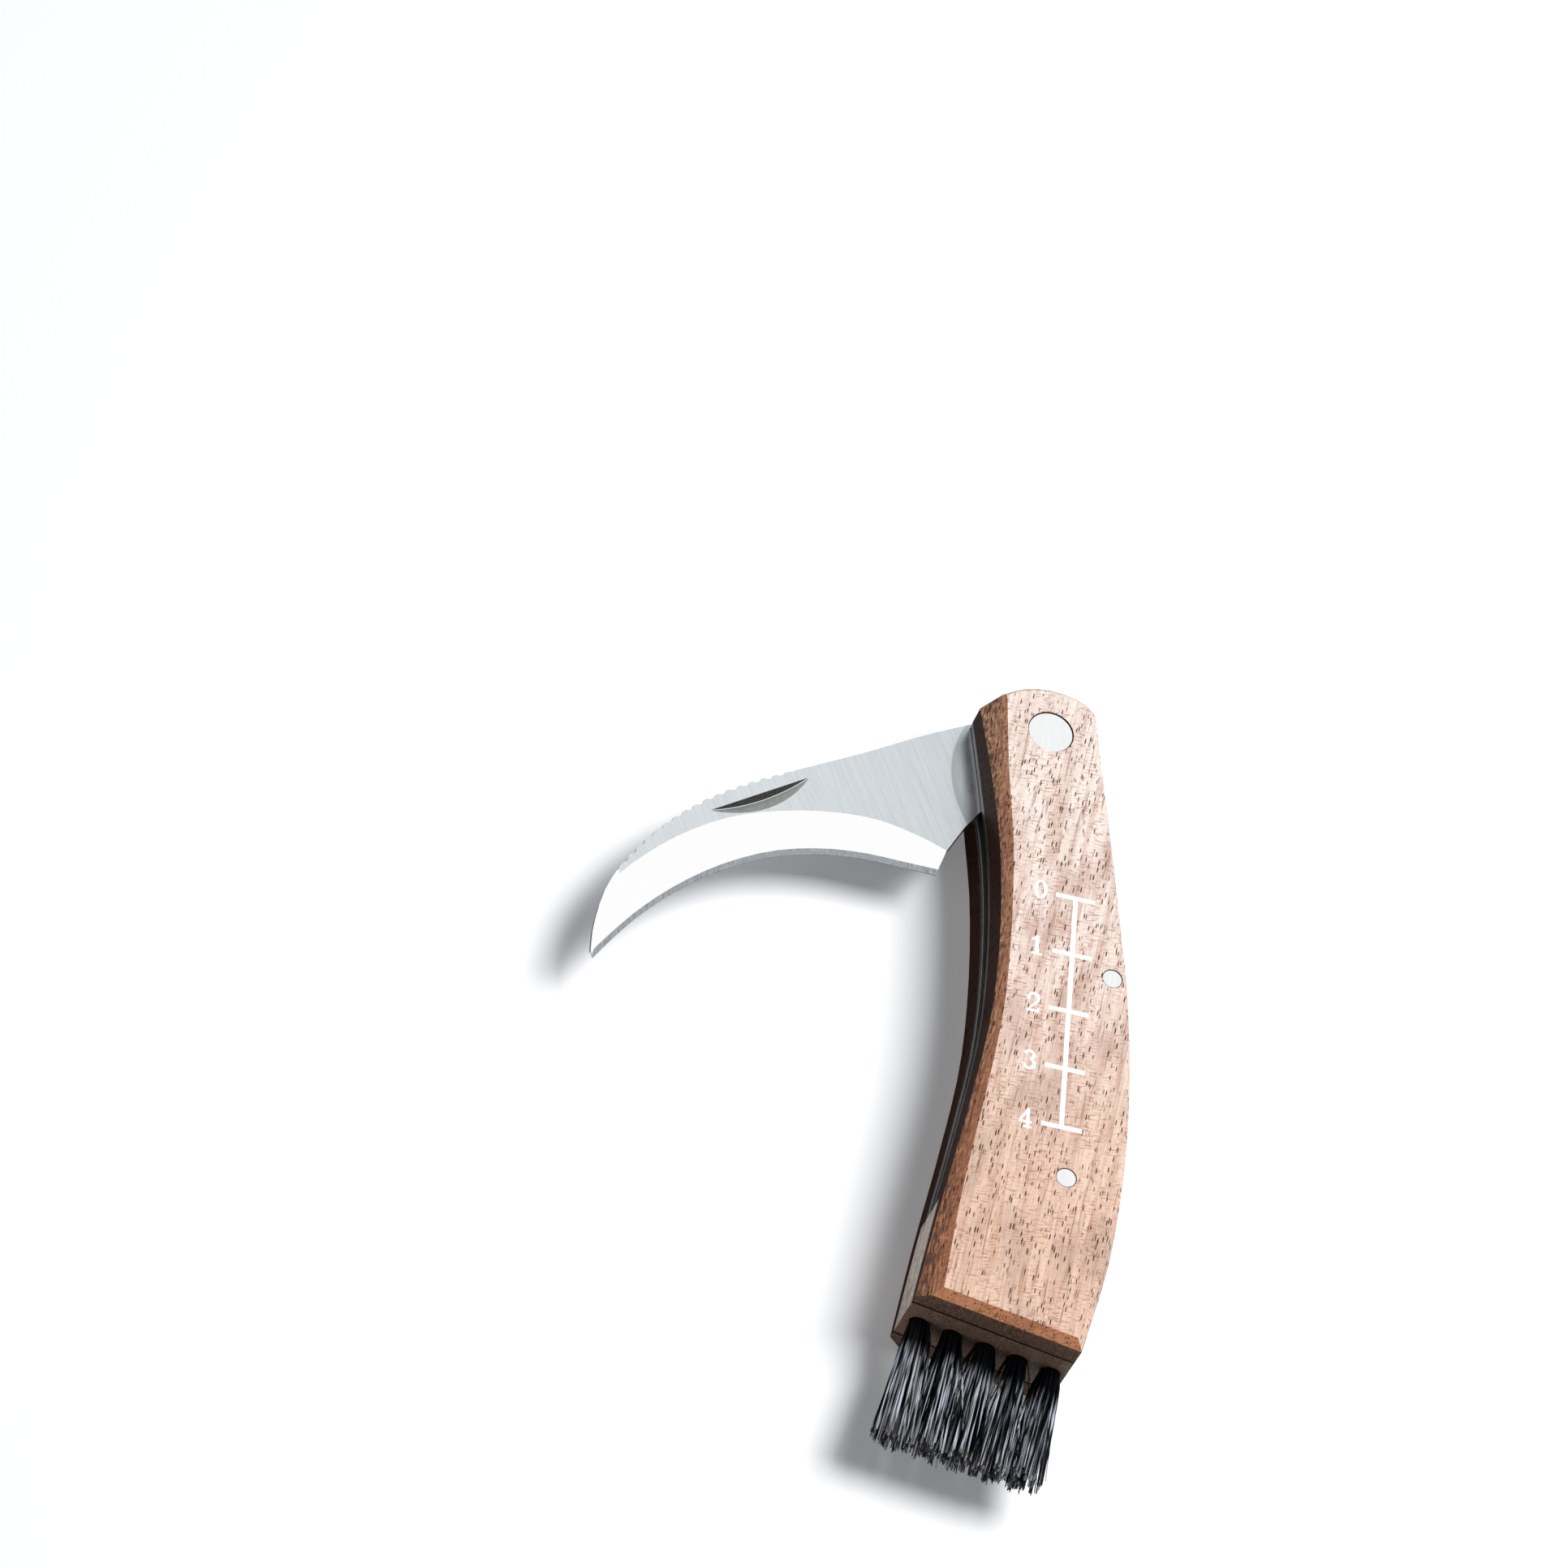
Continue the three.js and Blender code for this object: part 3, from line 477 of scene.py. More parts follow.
# The strokes of the numbers 0 to 4, as closed outlines in millimetres about the middle of each number
half_h = NUMBER_HEIGHT / 2
numbers = [
    [[ring(NUMBER_WIDTH, NUMBER_HEIGHT)],
     [ring(NUMBER_WIDTH - 2 * ZERO_SIDE_STROKE, NUMBER_HEIGHT - 2 * ZERO_TOP_STROKE)]],
    [[[(-0.85, -half_h), (0.85, -half_h), (0.85, -half_h + 0.42), (0.3, -half_h + 0.42), (0.3, half_h),
       (-0.12, half_h), (-0.9, half_h - 0.62), (-0.9, half_h - 1.0), (-0.3, half_h - 0.82),
       (-0.3, -half_h + 0.42), (-0.85, -half_h + 0.42)]]],
    [[band(ring(1.5, 1.65, (0, half_h - 1.05), 22, 205, -42) + [(-0.62, -half_h + 0.45)],
           [0.6, 0.5, 0.45, 0.5, 0.62, 0.6, 0.5, 0.3])],
     [[(-0.98, -half_h), (0.98, -half_h), (0.98, -half_h + 0.85), (0.72, -half_h + 0.85),
       (0.62, -half_h + 0.5), (-0.98, -half_h + 0.46)]]],
    [[band(ring(1.35, 1.35, (-0.02, half_h - 0.9), 20, 175, -80), [0.6, 0.42, 0.5, 0.6, 0.42])],
     [band(ring(1.6, 1.6, (-0.05, -half_h + 1.02), 24, 88, -178), [0.4, 0.55, 0.62, 0.45, 0.6])]],
    [[[(0.22, half_h), (0.62, half_h), (0.62, -0.42), (1.0, -0.42), (1.0, -0.84), (0.62, -0.84),
       (0.62, -half_h + 0.4), (0.95, -half_h + 0.4), (0.95, -half_h), (-0.3, -half_h), (-0.3, -half_h + 0.4),
       (0.08, -half_h + 0.4), (0.08, -0.84), (-1.05, -0.84), (-1.05, -0.52)],
      [(0.08, -0.42), (-0.52, -0.42), (0.08, 0.72)]]],
]
ink_marks = [printed("ruler_line", [ruler_outline])]
for value, strokes in enumerate(numbers):
    middle_y = RULER_TOP_Y + NUMBER_LIFT - value * TICK_SPACING
    moved = [[[(x + NUMBER_X, y + middle_y) for x, y in outline] for outline in stroke] for stroke in strokes]
    if value == 0:
        moved = [[moved[0][0], moved[1][0]]]
    ink_marks += [printed(f"number_{value}_{i}", stroke, i) for i, stroke in enumerate(moved)]
only(ink_marks[0])
for mark in ink_marks:
    mark.select_set(True)
bpy.ops.object.join()
ruler = bpy.context.object
ruler.name = ruler.data.name = "printed_ruler"

# White screen ink: matt, a little broken where it bridges the pores. Typical roughness 0.6.
screen_ink, output = new_material("white_screen_ink")
place = add_node(screen_ink, "TexCoord").outputs["Object"]
specks = add_node(screen_ink, "TexNoise", {"Vector": place, "Scale": 2 / MM, "Detail": 2})
speck_share = add_node(screen_ink, "MapRange", {"Value": specks.outputs["Fac"], "From Min": 0.62,
                       "From Max": 0.75, "To Max": 0.35})
ink_colour = add_node(screen_ink, "Mix", {0: speck_share.outputs[0], 6: linear("#fbfaf8"),
                      7: linear("#d8c2b4")}, data_type="RGBA")
ink_bump = add_node(screen_ink, "Bump", {"Height": specks.outputs["Fac"], "Strength": 0.3,
                    "Distance": 0.02 * MM})
shader = add_node(screen_ink, "BsdfPrincipled", {"Base Color": ink_colour.outputs[2], "Roughness": 0.6,
                  "Normal": ink_bump.outputs[0]})
screen_ink.node_tree.links.new(shader.outputs[0], output.inputs["Surface"])
ruler.data.materials.append(screen_ink)
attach(ruler, "handle")


# Liners and back spring
# Two stamped steel sheets that line the scales and a hardened spring bar along the back, between them.
# Stamped and tumbled, then the edges were sanded flush with the wood.
LINER_EDGE = 0.07
LINE_STRETCH = 30


def steel(name, tone, dull, roughness, line_turn, line_gap, relief):
    """A metal with fine parallel abrasive lines along Y turned by line_turn degrees, coloured from dull to
    tone. Ground ones have roughness 0.2 to 0.42, buffed ones 0.06. Real lines are some hundredths of a
    millimetre apart, drawn here line_gap millimetres apart so that they show."""
    material, output = new_material(name)
    place = add_node(material, "TexCoord").outputs["Object"]
    lines = streaks(material, place, line_gap * MM, line_gap * LINE_STRETCH * MM, turn=line_turn, Detail=3,
                    Roughness=0.7)
    blotches = add_node(material, "TexNoise", {"Vector": place, "Scale": 0.12 / MM, "Detail": 3})
    line_share = add_node(material, "MapRange", {"Value": lines, "From Min": 0.3, "From Max": 0.7})
    colour = add_node(material, "Mix", {0: line_share.outputs[0], 6: linear(dull), 7: linear(tone)},
                      data_type="RGBA")
    uneven = add_node(material, "MapRange", {"Value": blotches.outputs["Fac"], "From Min": 0.3,
                      "From Max": 0.7, "To Min": roughness - 0.04, "To Max": roughness + 0.05})
    bump = add_node(material, "Bump", {"Height": lines, "Strength": relief, "Distance": 0.01 * MM})
    shader = add_node(material, "BsdfPrincipled", {"Base Color": colour.outputs[2], "Metallic": 1,
                      "Roughness": uneven.outputs[0], "Normal": bump.outputs[0]})
    material.node_tree.links.new(shader.outputs[0], output.inputs["Surface"])
    return material


# Tumbled steel: mid grey with a soft, even shine
liner_steel = steel("tumbled_liner_steel", tone="#8b8b89", dull="#6b6b6a", roughness=0.36, line_turn=20,
                    line_gap=0.3, relief=0.4)
for node, name in (("upper_liner", "upper_steel_liner"), ("lower_liner", "lower_steel_liner"),
                   ("back_spring", "steel_back_spring")):
    sheet = merged_copy(node, name)
    ease_edges(sheet, LINER_EDGE, sharpness=60, chosen=clear_of_holes)
    smooth(sheet, angle=25)
    sheet.data.materials.append(liner_steel)
    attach(sheet, "handle")
    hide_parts(node)


# Pivot
# A steel pin through liners and blade, closed on both faces by a turned steel cap set just below the wood,
# with a bronze washer on each side of the blade.
CAP_THICKNESS = 1.2
CAP_SINK = 0.15
CAP_EDGE = 0.14
CAP_SIDES = 96
CAP_DISH = ((0.9, -0.015), (1.0, -0.012), (0.8, -0.006))
LEVEL_END = 0.99


def round_bar(name, sides, radius, length, middle):
    """An upright bar of that radius and length in millimetres about its middle, left open in edit mode."""
    bpy.ops.mesh.primitive_cylinder_add(vertices=sides, radius=radius * MM, depth=length * MM,
                                        location=middle)
    bar = bpy.context.object
    bar.name = bar.data.name = name
    bpy.ops.object.transform_apply(location=True, rotation=True, scale=True)
    bpy.ops.object.mode_set(mode="EDIT")
    return bar


def finish_end(bar, side, edge, segments, rings):
    """In edit mode, breaks the rim of the bar's upper end for side 1 or its lower end for -1. Its face is
    then stepped in rings towards the middle, each with a width and a lift in millimetres."""
    pick_faces(bar, lambda disc: disc.normal.z * side > LEVEL_END)
    bpy.ops.mesh.bevel(offset=edge * MM, segments=segments, affect="EDGES")
    pick_faces(bar, lambda disc: disc.normal.z * side > LEVEL_END)
    for width, lift in rings:
        bpy.ops.mesh.inset(thickness=width * MM)
        bpy.ops.transform.translate(value=(0, 0, side * lift * MM))


# Turned steel: nearly white, with the smoothest shine of the fittings and a shallow dish left by the tool
turned_steel = steel("turned_cap_steel", tone="#fbfcfc", dull="#eceeef", roughness=0.2, line_turn=0,
                     line_gap=0.16, relief=0.15)
for side, node, name in ((1, "upper_pivot_cap", "upper_turned_cap"),
                         (-1, "lower_pivot_cap", "lower_turned_cap")):
    face = HALF_HEIGHT / MM - CAP_SINK
    cap = round_bar(name, CAP_SIDES, PIVOT_CAP_RADIUS, CAP_THICKNESS,
                    at(0, 0, side * (face - CAP_THICKNESS / 2)))
    finish_end(cap, side, CAP_EDGE, segments=3, rings=CAP_DISH)
    bpy.ops.object.mode_set(mode="OBJECT")
    smooth(cap, angle=30)
    cap.data.materials.append(turned_steel)
    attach(cap, "handle")
    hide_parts(node)

# Drawn steel: nearly white, a little duller than the caps
pin_steel = steel("drawn_pin_steel", tone="#fbfcfc", dull="#edeff0", roughness=0.28, line_turn=0,
                  line_gap=0.4, relief=0.2)
# Bronze: rolled strip, warm and slightly dull. A metal with roughness about 0.35.
washer_bronze = steel("rolled_washer_bronze", tone="#b98e55", dull="#9c7443", roughness=0.35, line_turn=45,
                      line_gap=0.3, relief=0.4)
for node, metal in (("pivot_pin", pin_steel), ("upper_pivot_washer", washer_bronze),
                    ("lower_pivot_washer", washer_bronze)):
    fitting = frame["nodes"][node]
    fitting.data.materials.clear()
    fitting.data.materials.append(metal)


# Handle pins
# Two drawn steel rods through the whole handle, which also hold the back spring.
# They were ground off flush with the wood and polished with it.
PIN_SINK = 0.05
PIN_EDGE = 0.1
PIN_SIDES = 64
PIN_DOME = ((0.4, 0.02), (0.5, 0.012))
for node, name in (("spring_pin", "spring_pin_rod"), ("rear_pin", "rear_pin_rod")):
    reach = HALF_HEIGHT / MM - PIN_SINK
    rod = round_bar(name, PIN_SIDES, PIN_RADIUS, 2 * reach, at(*PIN_PLACES[node]))
    for side in (1, -1):
        finish_end(rod, side, PIN_EDGE, segments=2, rings=PIN_DOME)
    bpy.ops.object.mode_set(mode="OBJECT")
    smooth(rod, angle=30)
    rod.data.materials.append(pin_steel)
    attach(rod, "handle")
    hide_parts(node)


# Blade
# Stainless steel, stamped and hardened. The flats are satin ground, the long bevel is buffed to a mirror and
# the cutting edge is ground coarse. Scallops along the spine clean the stem, and a nick takes the nail.
SHOULDER_X = -13
SHOULDER_MIDDLE_Y = -4
SHOULDER_BOW = 0.03
STRIP_END_Y = -37
STRIP_FADE = 0.8
BELT_STRETCH = 40
SCRATCH_SHARE = 0.35
NICK_START = Vector((-34.68, -12.34))
NICK_END = Vector((-49.5, -22.47))
NICK_MARGIN = 0.3
NICK_SPINE_SIDE = -0.1
NICK_EDGE_SIDE = 3.9
EDGE_GRIND_HALF = 0.29
NICK_LEVEL = 0.965
FLAT_LEVEL = 0.9995
RIM_LEVEL = 0.5
CREASE_WIDTH = 0.08
knife_blade = merged_copy("blade", "hooked_blade")

# Satin-ground stainless steel: fine belt lines 28 degrees from the handle's length, with a few deeper
# scratches, and beside the handle a shoulder ground by itself, with a band of painted shade along its border.
# Painted shade also darkens the flat towards the handle. A metal with roughness 0.25 to 0.31.
# Real lines are 0.05 mm apart, drawn here 0.2 mm apart so that they show.
satin_steel, output = new_material("satin_ground_blade_steel")
place = add_node(satin_steel, "TexCoord").outputs["Object"]
spot = add_node(satin_steel, "SeparateXYZ", {"Vector": millimetres(satin_steel)})
bow = add_node(satin_steel, "Math", {0: spot.outputs["Y"], 1: SHOULDER_MIDDLE_Y}, operation="SUBTRACT")
bow_square = add_node(satin_steel, "Math", {0: bow.outputs[0], 1: 2}, operation="POWER")
border = add_node(satin_steel, "Math", {0: bow_square.outputs[0], 1: SHOULDER_BOW, 2: SHOULDER_X},
                  operation="MULTIPLY_ADD")
past_border = add_node(satin_steel, "Math", {0: spot.outputs["X"], 1: border.outputs[0]},
                       operation="SUBTRACT")
on_shoulder = add_node(satin_steel, "MapRange", {"Value": past_border.outputs[0], "From Min": -0.1,
                       "From Max": 0.15})
# A band along the shoulder's border is painted darker as the shade of its hollow grind
shoulder_shade_fade = add_node(satin_steel, "MapRange", {"Value": past_border.outputs[0], "From Max": 2.4,
                         "To Min": 1, "To Max": 0.05}, interpolation_type="SMOOTHSTEP")
fine_lines, scratches, shoulder_lines = [
    streaks(satin_steel, place, gap * MM, gap * BELT_STRETCH * MM, turn, Detail=3, Roughness=0.65)
    for turn, gap in ((28, 0.2), (24, 0.55), (5, 0.22))]
belt_lines = add_node(satin_steel, "Mix", {0: SCRATCH_SHARE, 2: fine_lines, 3: scratches})
ground_lines = add_node(satin_steel, "Mix", {0: on_shoulder.outputs[0], 2: belt_lines.outputs[0],
                        3: shoulder_lines})
line_share = add_node(satin_steel, "MapRange", {"Value": ground_lines.outputs[0], "From Min": 0.34,
                      "From Max": 0.66})
satin_tone = add_node(satin_steel, "Mix", {0: line_share.outputs[0], 6: linear("#cdd2d6"),
                      7: linear("#e0e5e8")}, data_type="RGBA")
shoulder_shade_share = add_node(satin_steel, "Math", {0: on_shoulder.outputs[0], 1: shoulder_shade_fade.outputs[0]},
                          operation="MULTIPLY")
shoulder_shade_tone = add_node(satin_steel, "Mix", {0: shoulder_shade_share.outputs[0], 6: satin_tone.outputs[2],
                         7: linear("#aeb3b6")}, data_type="RGBA")
# Towards the handle the flat is painted darker as the handle's shade
handle_shade_share = add_node(satin_steel, "MapRange", {"Value": spot.outputs["X"], "From Min": -40, "From Max": -14,
                     "To Max": 0.18})
shaded_tone = add_node(satin_steel, "Mix", {0: handle_shade_share.outputs[0], 6: shoulder_shade_tone.outputs[2],
                       7: linear("#a4aaae")}, data_type="RGBA")
# Past the end of the satin strip the spine's narrow rim is buffed with the bevel
on_rim = add_node(satin_steel, "MapRange", {"Value": spot.outputs["Y"], "From Min": STRIP_END_Y + STRIP_FADE,
                  "From Max": STRIP_END_Y - STRIP_FADE})
rim_tone = add_node(satin_steel, "Mix", {0: on_rim.outputs[0], 6: shaded_tone.outputs[2],
                    7: linear("#fbfbfb")}, data_type="RGBA")
blotches = add_node(satin_steel, "TexNoise", {"Vector": place, "Scale": 0.3 / MM, "Detail": 4})
satin_rough = add_node(satin_steel, "MapRange", {"Value": blotches.outputs["Fac"], "From Min": 0.3,
                       "From Max": 0.7, "To Min": 0.25, "To Max": 0.31})
rim_rough = add_node(satin_steel, "Mix", {0: on_rim.outputs[0], 2: satin_rough.outputs[0], 3: 0.08})
line_bump = add_node(satin_steel, "Bump", {"Height": ground_lines.outputs[0], "Strength": 0.22,
                     "Distance": 0.01 * MM})
shader = add_node(satin_steel, "BsdfPrincipled", {"Base Color": rim_tone.outputs[2], "Metallic": 1,
                  "Roughness": rim_rough.outputs[0], "Normal": line_bump.outputs[0]})
satin_steel.node_tree.links.new(shader.outputs[0], output.inputs["Surface"])

# The buffed bevel mirrors the room, the ground edge shows coarse grey lines, and the nick is dull, with its
# steep wall painted darker as shade
mirror_steel = steel("buffed_blade_bevel", tone="#fefefe", dull="#fcfcfc", roughness=0.06, line_turn=28,
                     line_gap=0.3, relief=0)
edge_steel = steel("coarse_ground_edge", tone="#b9bdc1", dull="#83888c", roughness=0.4, line_turn=12,
                   line_gap=0.22, relief=0.8)
nick_steel = steel("cut_nail_nick", tone="#a7a9a7", dull="#8a8c8a", roughness=0.42, line_turn=60,
                   line_gap=0.3, relief=0.4)
nick_wall_shade_steel = steel("steep_nick_wall_painted_shade", tone="#515150", dull="#363635", roughness=0.42, line_turn=60,
                        line_gap=0.3, relief=0.4)
SATIN, MIRROR, COARSE_EDGE, NICK_SLOPE, NICK_SHADE_WALL = range(5)
for finish in (satin_steel, mirror_steel, edge_steel, nick_steel, nick_wall_shade_steel):
    knife_blade.data.materials.append(finish)
nick_length = (NICK_END - NICK_START).length
nick_along = (NICK_END - NICK_START).normalized()
towards_edge = Vector((-nick_along.y, nick_along.x))
for face in knife_blade.data.polygons:
    centre = (face.center - PIVOT) / MM
    level = abs(face.normal.z)
    from_nick = centre.xy - NICK_START
    along = from_nick.dot(nick_along)
    across = from_nick.dot(towards_edge)
    highest = max(abs(knife_blade.data.vertices[corner].co.z - HALF_HEIGHT) for corner in face.vertices) / MM
    beside_nick = -NICK_MARGIN < along < nick_length + NICK_MARGIN
    in_nick = beside_nick and NICK_SPINE_SIDE < across < NICK_EDGE_SIDE
    # Faces of the nick turned towards the edge take the painted shade of its steep wall
    if in_nick and centre.z > 0 and level < NICK_LEVEL:
        face.material_index = NICK_SHADE_WALL if face.normal.xy.dot(towards_edge) > 0 else NICK_SLOPE
    elif highest < EDGE_GRIND_HALF:
        face.material_index = COARSE_EDGE
    elif level > FLAT_LEVEL or level < RIM_LEVEL:
        face.material_index = SATIN
    else:
        face.material_index = MIRROR
only(knife_blade)
bpy.ops.object.shade_smooth_by_angle(angle=math.radians(30))
bpy.ops.object.mode_set(mode="EDIT")
bpy.ops.mesh.select_mode(type="EDGE")
bpy.ops.mesh.select_all(action="DESELECT")
shape = bmesh.from_edit_mesh(knife_blade.data)
for edge in shape.edges:
    kinds = {face.material_index for face in edge.link_faces}
    edge.smooth = edge.smooth and len(kinds) == 1
    edge.select_set(kinds == {NICK_SLOPE, NICK_SHADE_WALL})
bmesh.update_edit_mesh(knife_blade.data)
# The crease at the bottom of the nick is bevelled narrowly in the brighter satin finish
bpy.ops.mesh.bevel(offset=CREASE_WIDTH * MM, segments=1, affect="EDGES", clamp_overlap=True, material=SATIN)
bpy.ops.object.mode_set(mode="OBJECT")
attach(knife_blade, "blade")
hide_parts("blade")


# Brush
# Five tufts of black nylon filament, each folded and stapled into its own hole in the block. They leave the
# block as tight bundles, spread at once until the tufts touch, with a few strays, and are trimmed together.
# Real filaments are finer and more numerous, drawn here 0.17 mm thick so that they show.
ALONG = Vector((math.cos(END_TILT), -math.sin(END_TILT), 0))
END_CENTRE = Vector((0, -102.7, 0))
TUFTS = 5
TUFT_PITCH = 5.03
TUFT_ROW_OFFSET = -1.15
FILAMENTS_PER_TUFT = 260
FILAMENT_RADIUS = 0.085
FILAMENT_STEPS = 8
GOLDEN_TURN = 2.39996
BRISTLE_LENGTH = 19.4
SHORTEST = -0.8
LONGEST = 0.35
TIP_SLANT = 0.035
CORNER_START = 5
CORNER_SLANT = 0.1
ROOT_DEPTH = 2.9
ROOT_RADIUS = 1.3
BUNDLE_SHARE = 0.12
FAN_ALONG = 2.85
FAN_DEEP = 2.75
FAN_SHIFT = 0.3
FAN_BEND = 0.5
CLUMPS_ALONG = 3
CLUMPS_DEEP = 2
CLUMP_PULL = 0.65
CLUMP_LEAN_ALONG = 1
CLUMP_LEAN_DEEP = 0.35
DRIFT = 0.3
DRIFT_DEEP_SHARE = 0.6
DRIFT_DEEP_LIMIT = 1.2
STRAY_CHANCE = 0.1
STRAY_DRIFT = 3.4
STRAY_BEND = 0.85
TIPS_LEFT = -13.1
TIPS_RIGHT = 11.6
TIPS_PULL = 0.85
spread = random.Random(41)

# Black nylon: a smooth drawn plastic, black in the bundle, with silvery highlights painted in as streaks
# where the filaments spread, and grey-brown at the trimmed tips. Typical IOR 1.53.
black_nylon, output = new_material("black_nylon_filament")
in_mm = millimetres(black_nylon)
outward = add_node(black_nylon, "VectorMath", {0: in_mm, 1: OUTWARD}, operation="DOT_PRODUCT")
from_end = add_node(black_nylon, "Math", {0: outward.outputs["Value"], 1: END_CENTRE.dot(OUTWARD)},
                    operation="SUBTRACT")
glints = streaks(black_nylon, in_mm, 0.42, 11, turn=-END_TURN, Detail=2)
glint_share = add_node(black_nylon, "MapRange", {"Value": glints, "From Min": 0.45, "From Max": 0.62},
                       interpolation_type="SMOOTHSTEP")
# The painted highlights are left out within 8 mm of the block, where the bundle is in shade
spread_share = add_node(black_nylon, "MapRange", {"Value": from_end.outputs[0], "From Min": 3.5,
                        "From Max": 8}, interpolation_type="SMOOTHSTEP")
sheen_share = add_node(black_nylon, "Math", {0: glint_share.outputs[0], 1: spread_share.outputs[0]},
                       operation="MULTIPLY")
sheen = add_node(black_nylon, "Mix", {0: sheen_share.outputs[0], 6: linear("#07080a"),
                 7: linear("#d6dce6")}, data_type="RGBA")
tip_share = add_node(black_nylon, "MapRange", {"Value": from_end.outputs[0], "From Min": 17.4,
                     "From Max": 19.4, "To Max": 0.4})
nylon_tone = add_node(black_nylon, "Mix", {0: tip_share.outputs[0], 6: sheen.outputs[2],
                      7: linear("#5b5550")}, data_type="RGBA")
nylon_rough = add_node(black_nylon, "MapRange", {"Value": spread_share.outputs[0], "To Min": 0.6,
                       "To Max": 0.35})
nylon_gloss = add_node(black_nylon, "MapRange", {"Value": sheen_share.outputs[0], "To Min": 0.06,
                       "To Max": 0.6})
shader = add_node(black_nylon, "BsdfPrincipled", {"Base Color": nylon_tone.outputs[2],
                  "Roughness": nylon_rough.outputs[0], "IOR": 1.53,
                  "Specular IOR Level": nylon_gloss.outputs[0]})
black_nylon.node_tree.links.new(shader.outputs[0], output.inputs["Surface"])

for tuft in range(TUFTS):
    middle = TUFT_ROW_OFFSET + (tuft - (TUFTS - 1) / 2) * TUFT_PITCH
    lines = bpy.data.curves.new(f"bristle_tuft_{tuft + 1}", "CURVE")
    lines.dimensions = "3D"
    lines.bevel_depth = FILAMENT_RADIUS * MM
    lines.bevel_resolution = 0
    lines.use_fill_caps = True
    clump_leans = {}
    for number in range(FILAMENTS_PER_TUFT):
        radius = math.sqrt((number + 0.5) / FILAMENTS_PER_TUFT)
        turn = number * GOLDEN_TURN
        root = Vector((radius * math.cos(turn), radius * math.sin(turn)))
        # Neighbours cling together in clumps that lean apart, and one filament in ten strays across them
        clump = (round(root.x * CLUMPS_ALONG), round(root.y * CLUMPS_DEEP))
        if clump not in clump_leans:
            clump_leans[clump] = Vector((spread.uniform(-CLUMP_LEAN_ALONG, CLUMP_LEAN_ALONG),
                                         spread.uniform(-CLUMP_LEAN_DEEP, CLUMP_LEAN_DEEP)))
        clump_centre = Vector((clump[0] / CLUMPS_ALONG, clump[1] / CLUMPS_DEEP))
        gathered = root * (1 - CLUMP_PULL) + clump_centre * CLUMP_PULL
        strays = spread.random() < STRAY_CHANCE
        reach = STRAY_DRIFT if strays else DRIFT
        drift = clump_leans[clump] + Vector((
            spread.uniform(-1, 1) * reach,
            spread.uniform(-DRIFT_DEEP_SHARE, DRIFT_DEEP_SHARE) * min(reach, DRIFT_DEEP_LIMIT)))
        tip = Vector((gathered.x * FAN_ALONG + drift.x + FAN_SHIFT, gathered.y * FAN_DEEP + drift.y))
        # The outermost filaments of the row are drawn in at its two ends
        past_end = max(middle + tip.x - TIPS_RIGHT, 0) + min(middle + tip.x - TIPS_LEFT, 0)
        tip.x -= past_end * TIPS_PULL
        # The trim slants a little along the row and is cut back at its right corner
        trim = max(middle - CORNER_START, 0) * CORNER_SLANT
        length = BRISTLE_LENGTH - middle * TIP_SLANT + spread.uniform(SHORTEST, LONGEST) - trim
        line = lines.splines.new("POLY")
        line.points.add(FILAMENT_STEPS)
        for i, point in enumerate(line.points):
            share = i / FILAMENT_STEPS
            out = -ROOT_DEPTH + (length + ROOT_DEPTH) * share
            fanned = max(0, share - BUNDLE_SHARE) / (1 - BUNDLE_SHARE)
            bend = fanned ** (STRAY_BEND if strays else FAN_BEND)
            side = root.x * ROOT_RADIUS * (1 - bend) + tip.x * bend
            deep = root.y * ROOT_RADIUS * (1 - bend) + tip.y * bend
            here = END_CENTRE + ALONG * (middle + side) + OUTWARD * out + Vector((0, 0, deep))
            point.co = (*at(*here), 1)
    bristles = bpy.data.objects.new(lines.name, lines)
    bpy.context.collection.objects.link(bristles)
    only(bristles)
    bpy.ops.object.convert(target="MESH")
    bpy.ops.object.shade_smooth_by_angle(angle=math.radians(60))
    bristles.data.materials.clear()
    bristles.data.materials.append(black_nylon)
    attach(bristles, "handle")
    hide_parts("bristles")


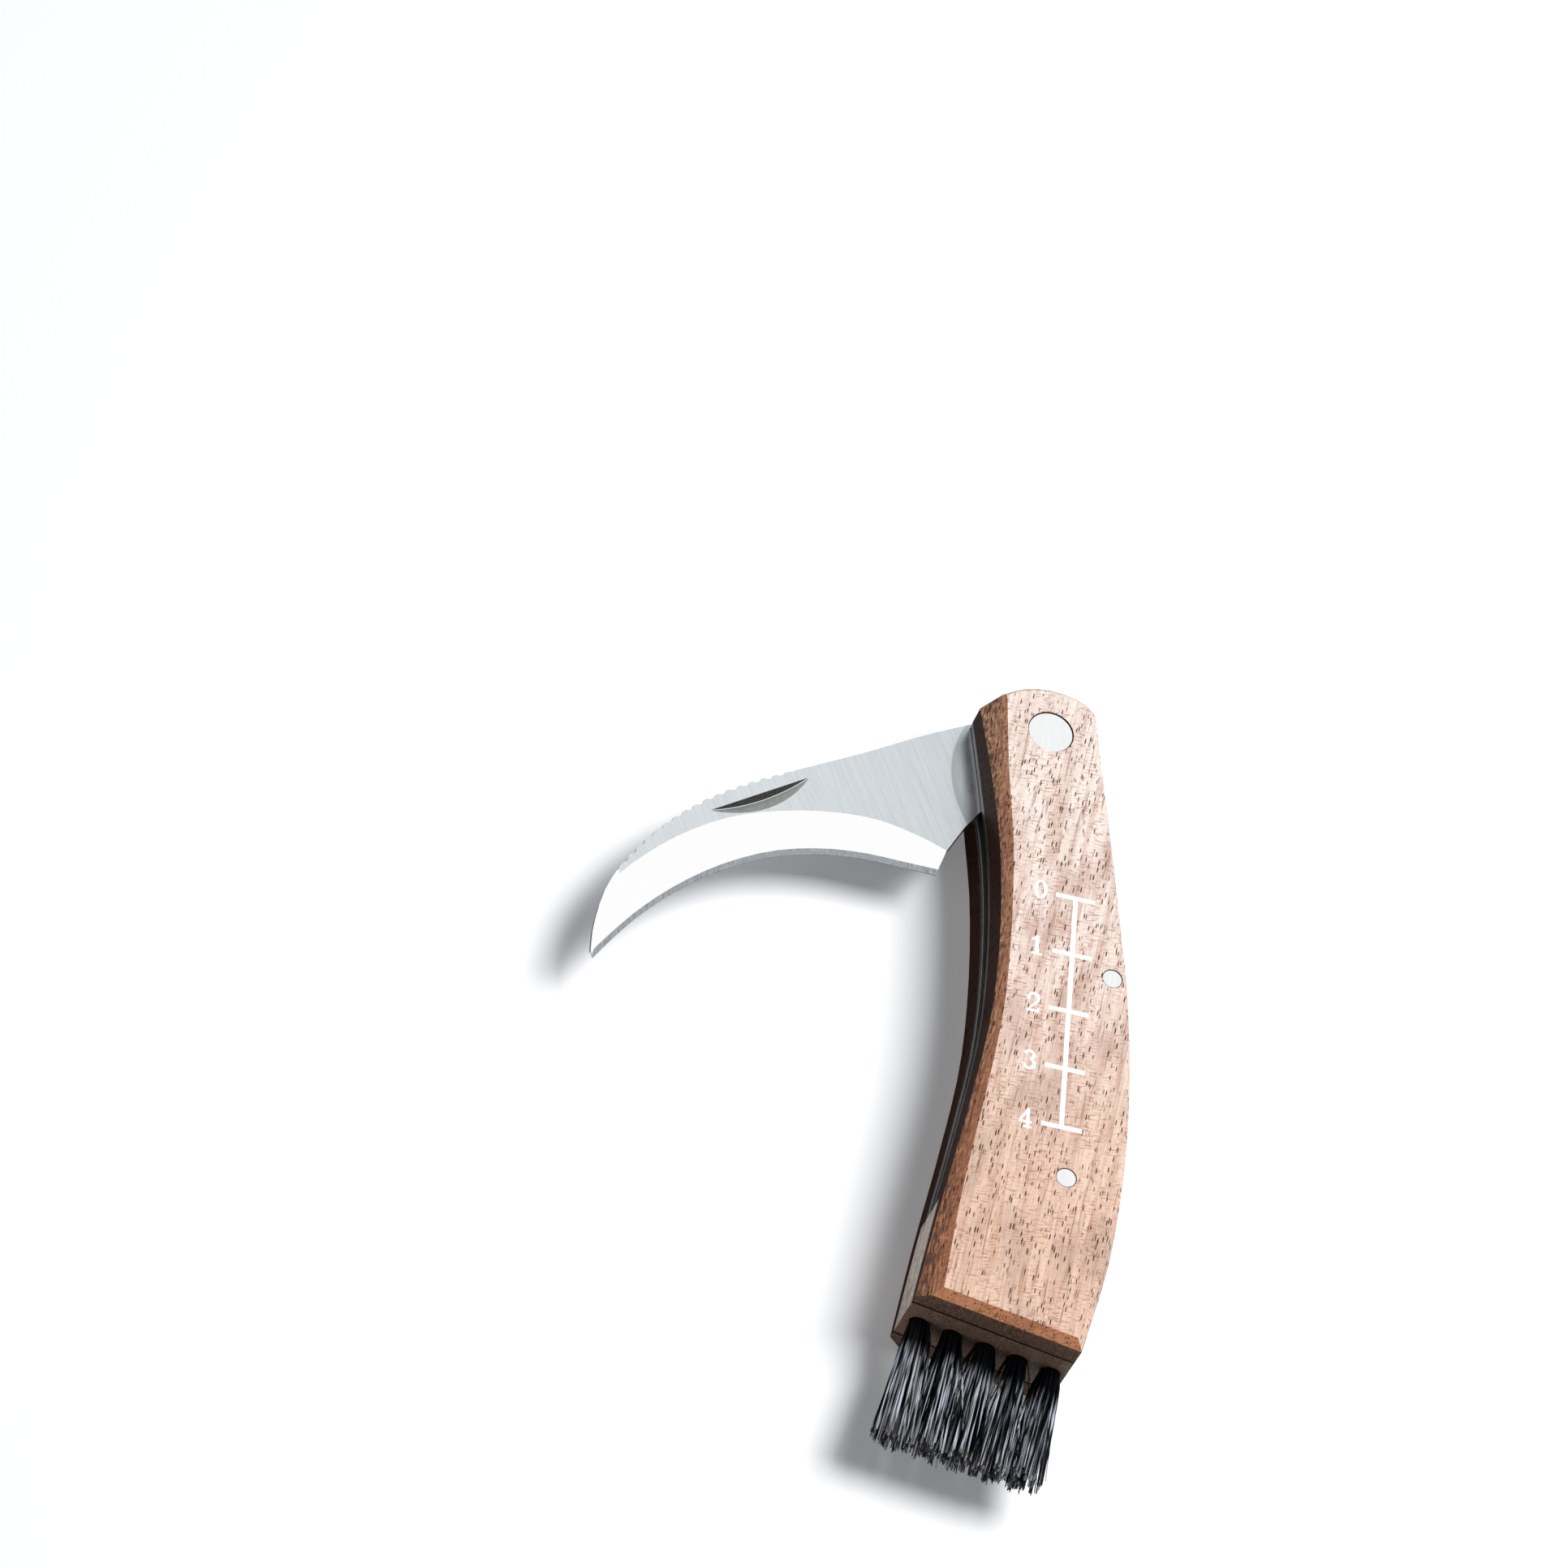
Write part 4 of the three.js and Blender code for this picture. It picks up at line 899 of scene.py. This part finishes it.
# Studio
# A plain white table in a white surround, as for a catalogue picture.
# A soft box stands high on the right, and a weak fill low on the left.
TABLE_SIZE = 6
TABLE_GAP = 0.00005
bpy.ops.mesh.primitive_plane_add(size=TABLE_SIZE, location=(0, 0, -TABLE_GAP))
table_top = bpy.context.object
table_top.name = "studio_table"
studio_white, output = new_material("matt_white_table")
path = add_node(studio_white, "LightPath")
paper = add_node(studio_white, "BsdfDiffuse", {"Color": linear("#f2f4f7")})
glow = add_node(studio_white, "Emission", {"Color": (1, 1, 1, 1), "Strength": 0.14})
seen = add_node(studio_white, "AddShader", {0: paper.outputs[0], 1: glow.outputs[0]})
# What lights the knife from below is a greyer paper, so that the undersides stay dark
grey_paper = add_node(studio_white, "BsdfDiffuse", {"Color": linear("#bcbec2")})
shown = add_node(studio_white, "MixShader", {0: path.outputs["Is Camera Ray"], 1: grey_paper.outputs[0],
                 2: seen.outputs[0]})
studio_white.node_tree.links.new(shown.outputs[0], output.inputs["Surface"])
table_top.data.materials.append(studio_white)

world = bpy.data.worlds.new("studio_surround")
bpy.context.scene.world = world
world.use_nodes = True
world.node_tree.nodes.clear()
world_output = add_node(world, "OutputWorld")
world_path = add_node(world, "LightPath")
sharp_rays = add_node(world, "Math", {0: world_path.outputs["Is Camera Ray"],
                      1: world_path.outputs["Is Glossy Ray"]}, operation="MAXIMUM")
dim_room = add_node(world, "Background", {"Color": (0.88, 0.94, 1.0, 1), "Strength": 0.08})
white_room = add_node(world, "Background", {"Color": (1, 1, 1, 1), "Strength": 1})
surround = add_node(world, "MixShader", {0: sharp_rays.outputs[0], 1: dim_room.outputs[0],
                    2: white_room.outputs[0]})
world.node_tree.links.new(surround.outputs[0], world_output.inputs["Surface"])


def soft_box(name, place, size, power, colour):
    """A square soft light at a place in metres, turned towards the knife. It is kept out of the steel's
    reflections, which show the white surround alone."""
    bpy.ops.object.light_add(type="AREA", location=place)
    lamp = bpy.context.object
    lamp.name = name
    lamp.data.shape = "SQUARE"
    lamp.data.size = size
    lamp.data.energy = power
    lamp.data.color = colour
    lamp.visible_glossy = False
    lamp.rotation_euler = (-Vector(place)).to_track_quat("-Z", "Y").to_euler()


soft_box("key_soft_box", place=(0.5, 0.12, 1.12), size=0.6, power=16.8, colour=(1.0, 0.99, 0.98))
soft_box("fill_soft_box", place=(-0.9, -0.3, 0.22), size=0.4, power=2.6, colour=(0.96, 0.98, 1.0))
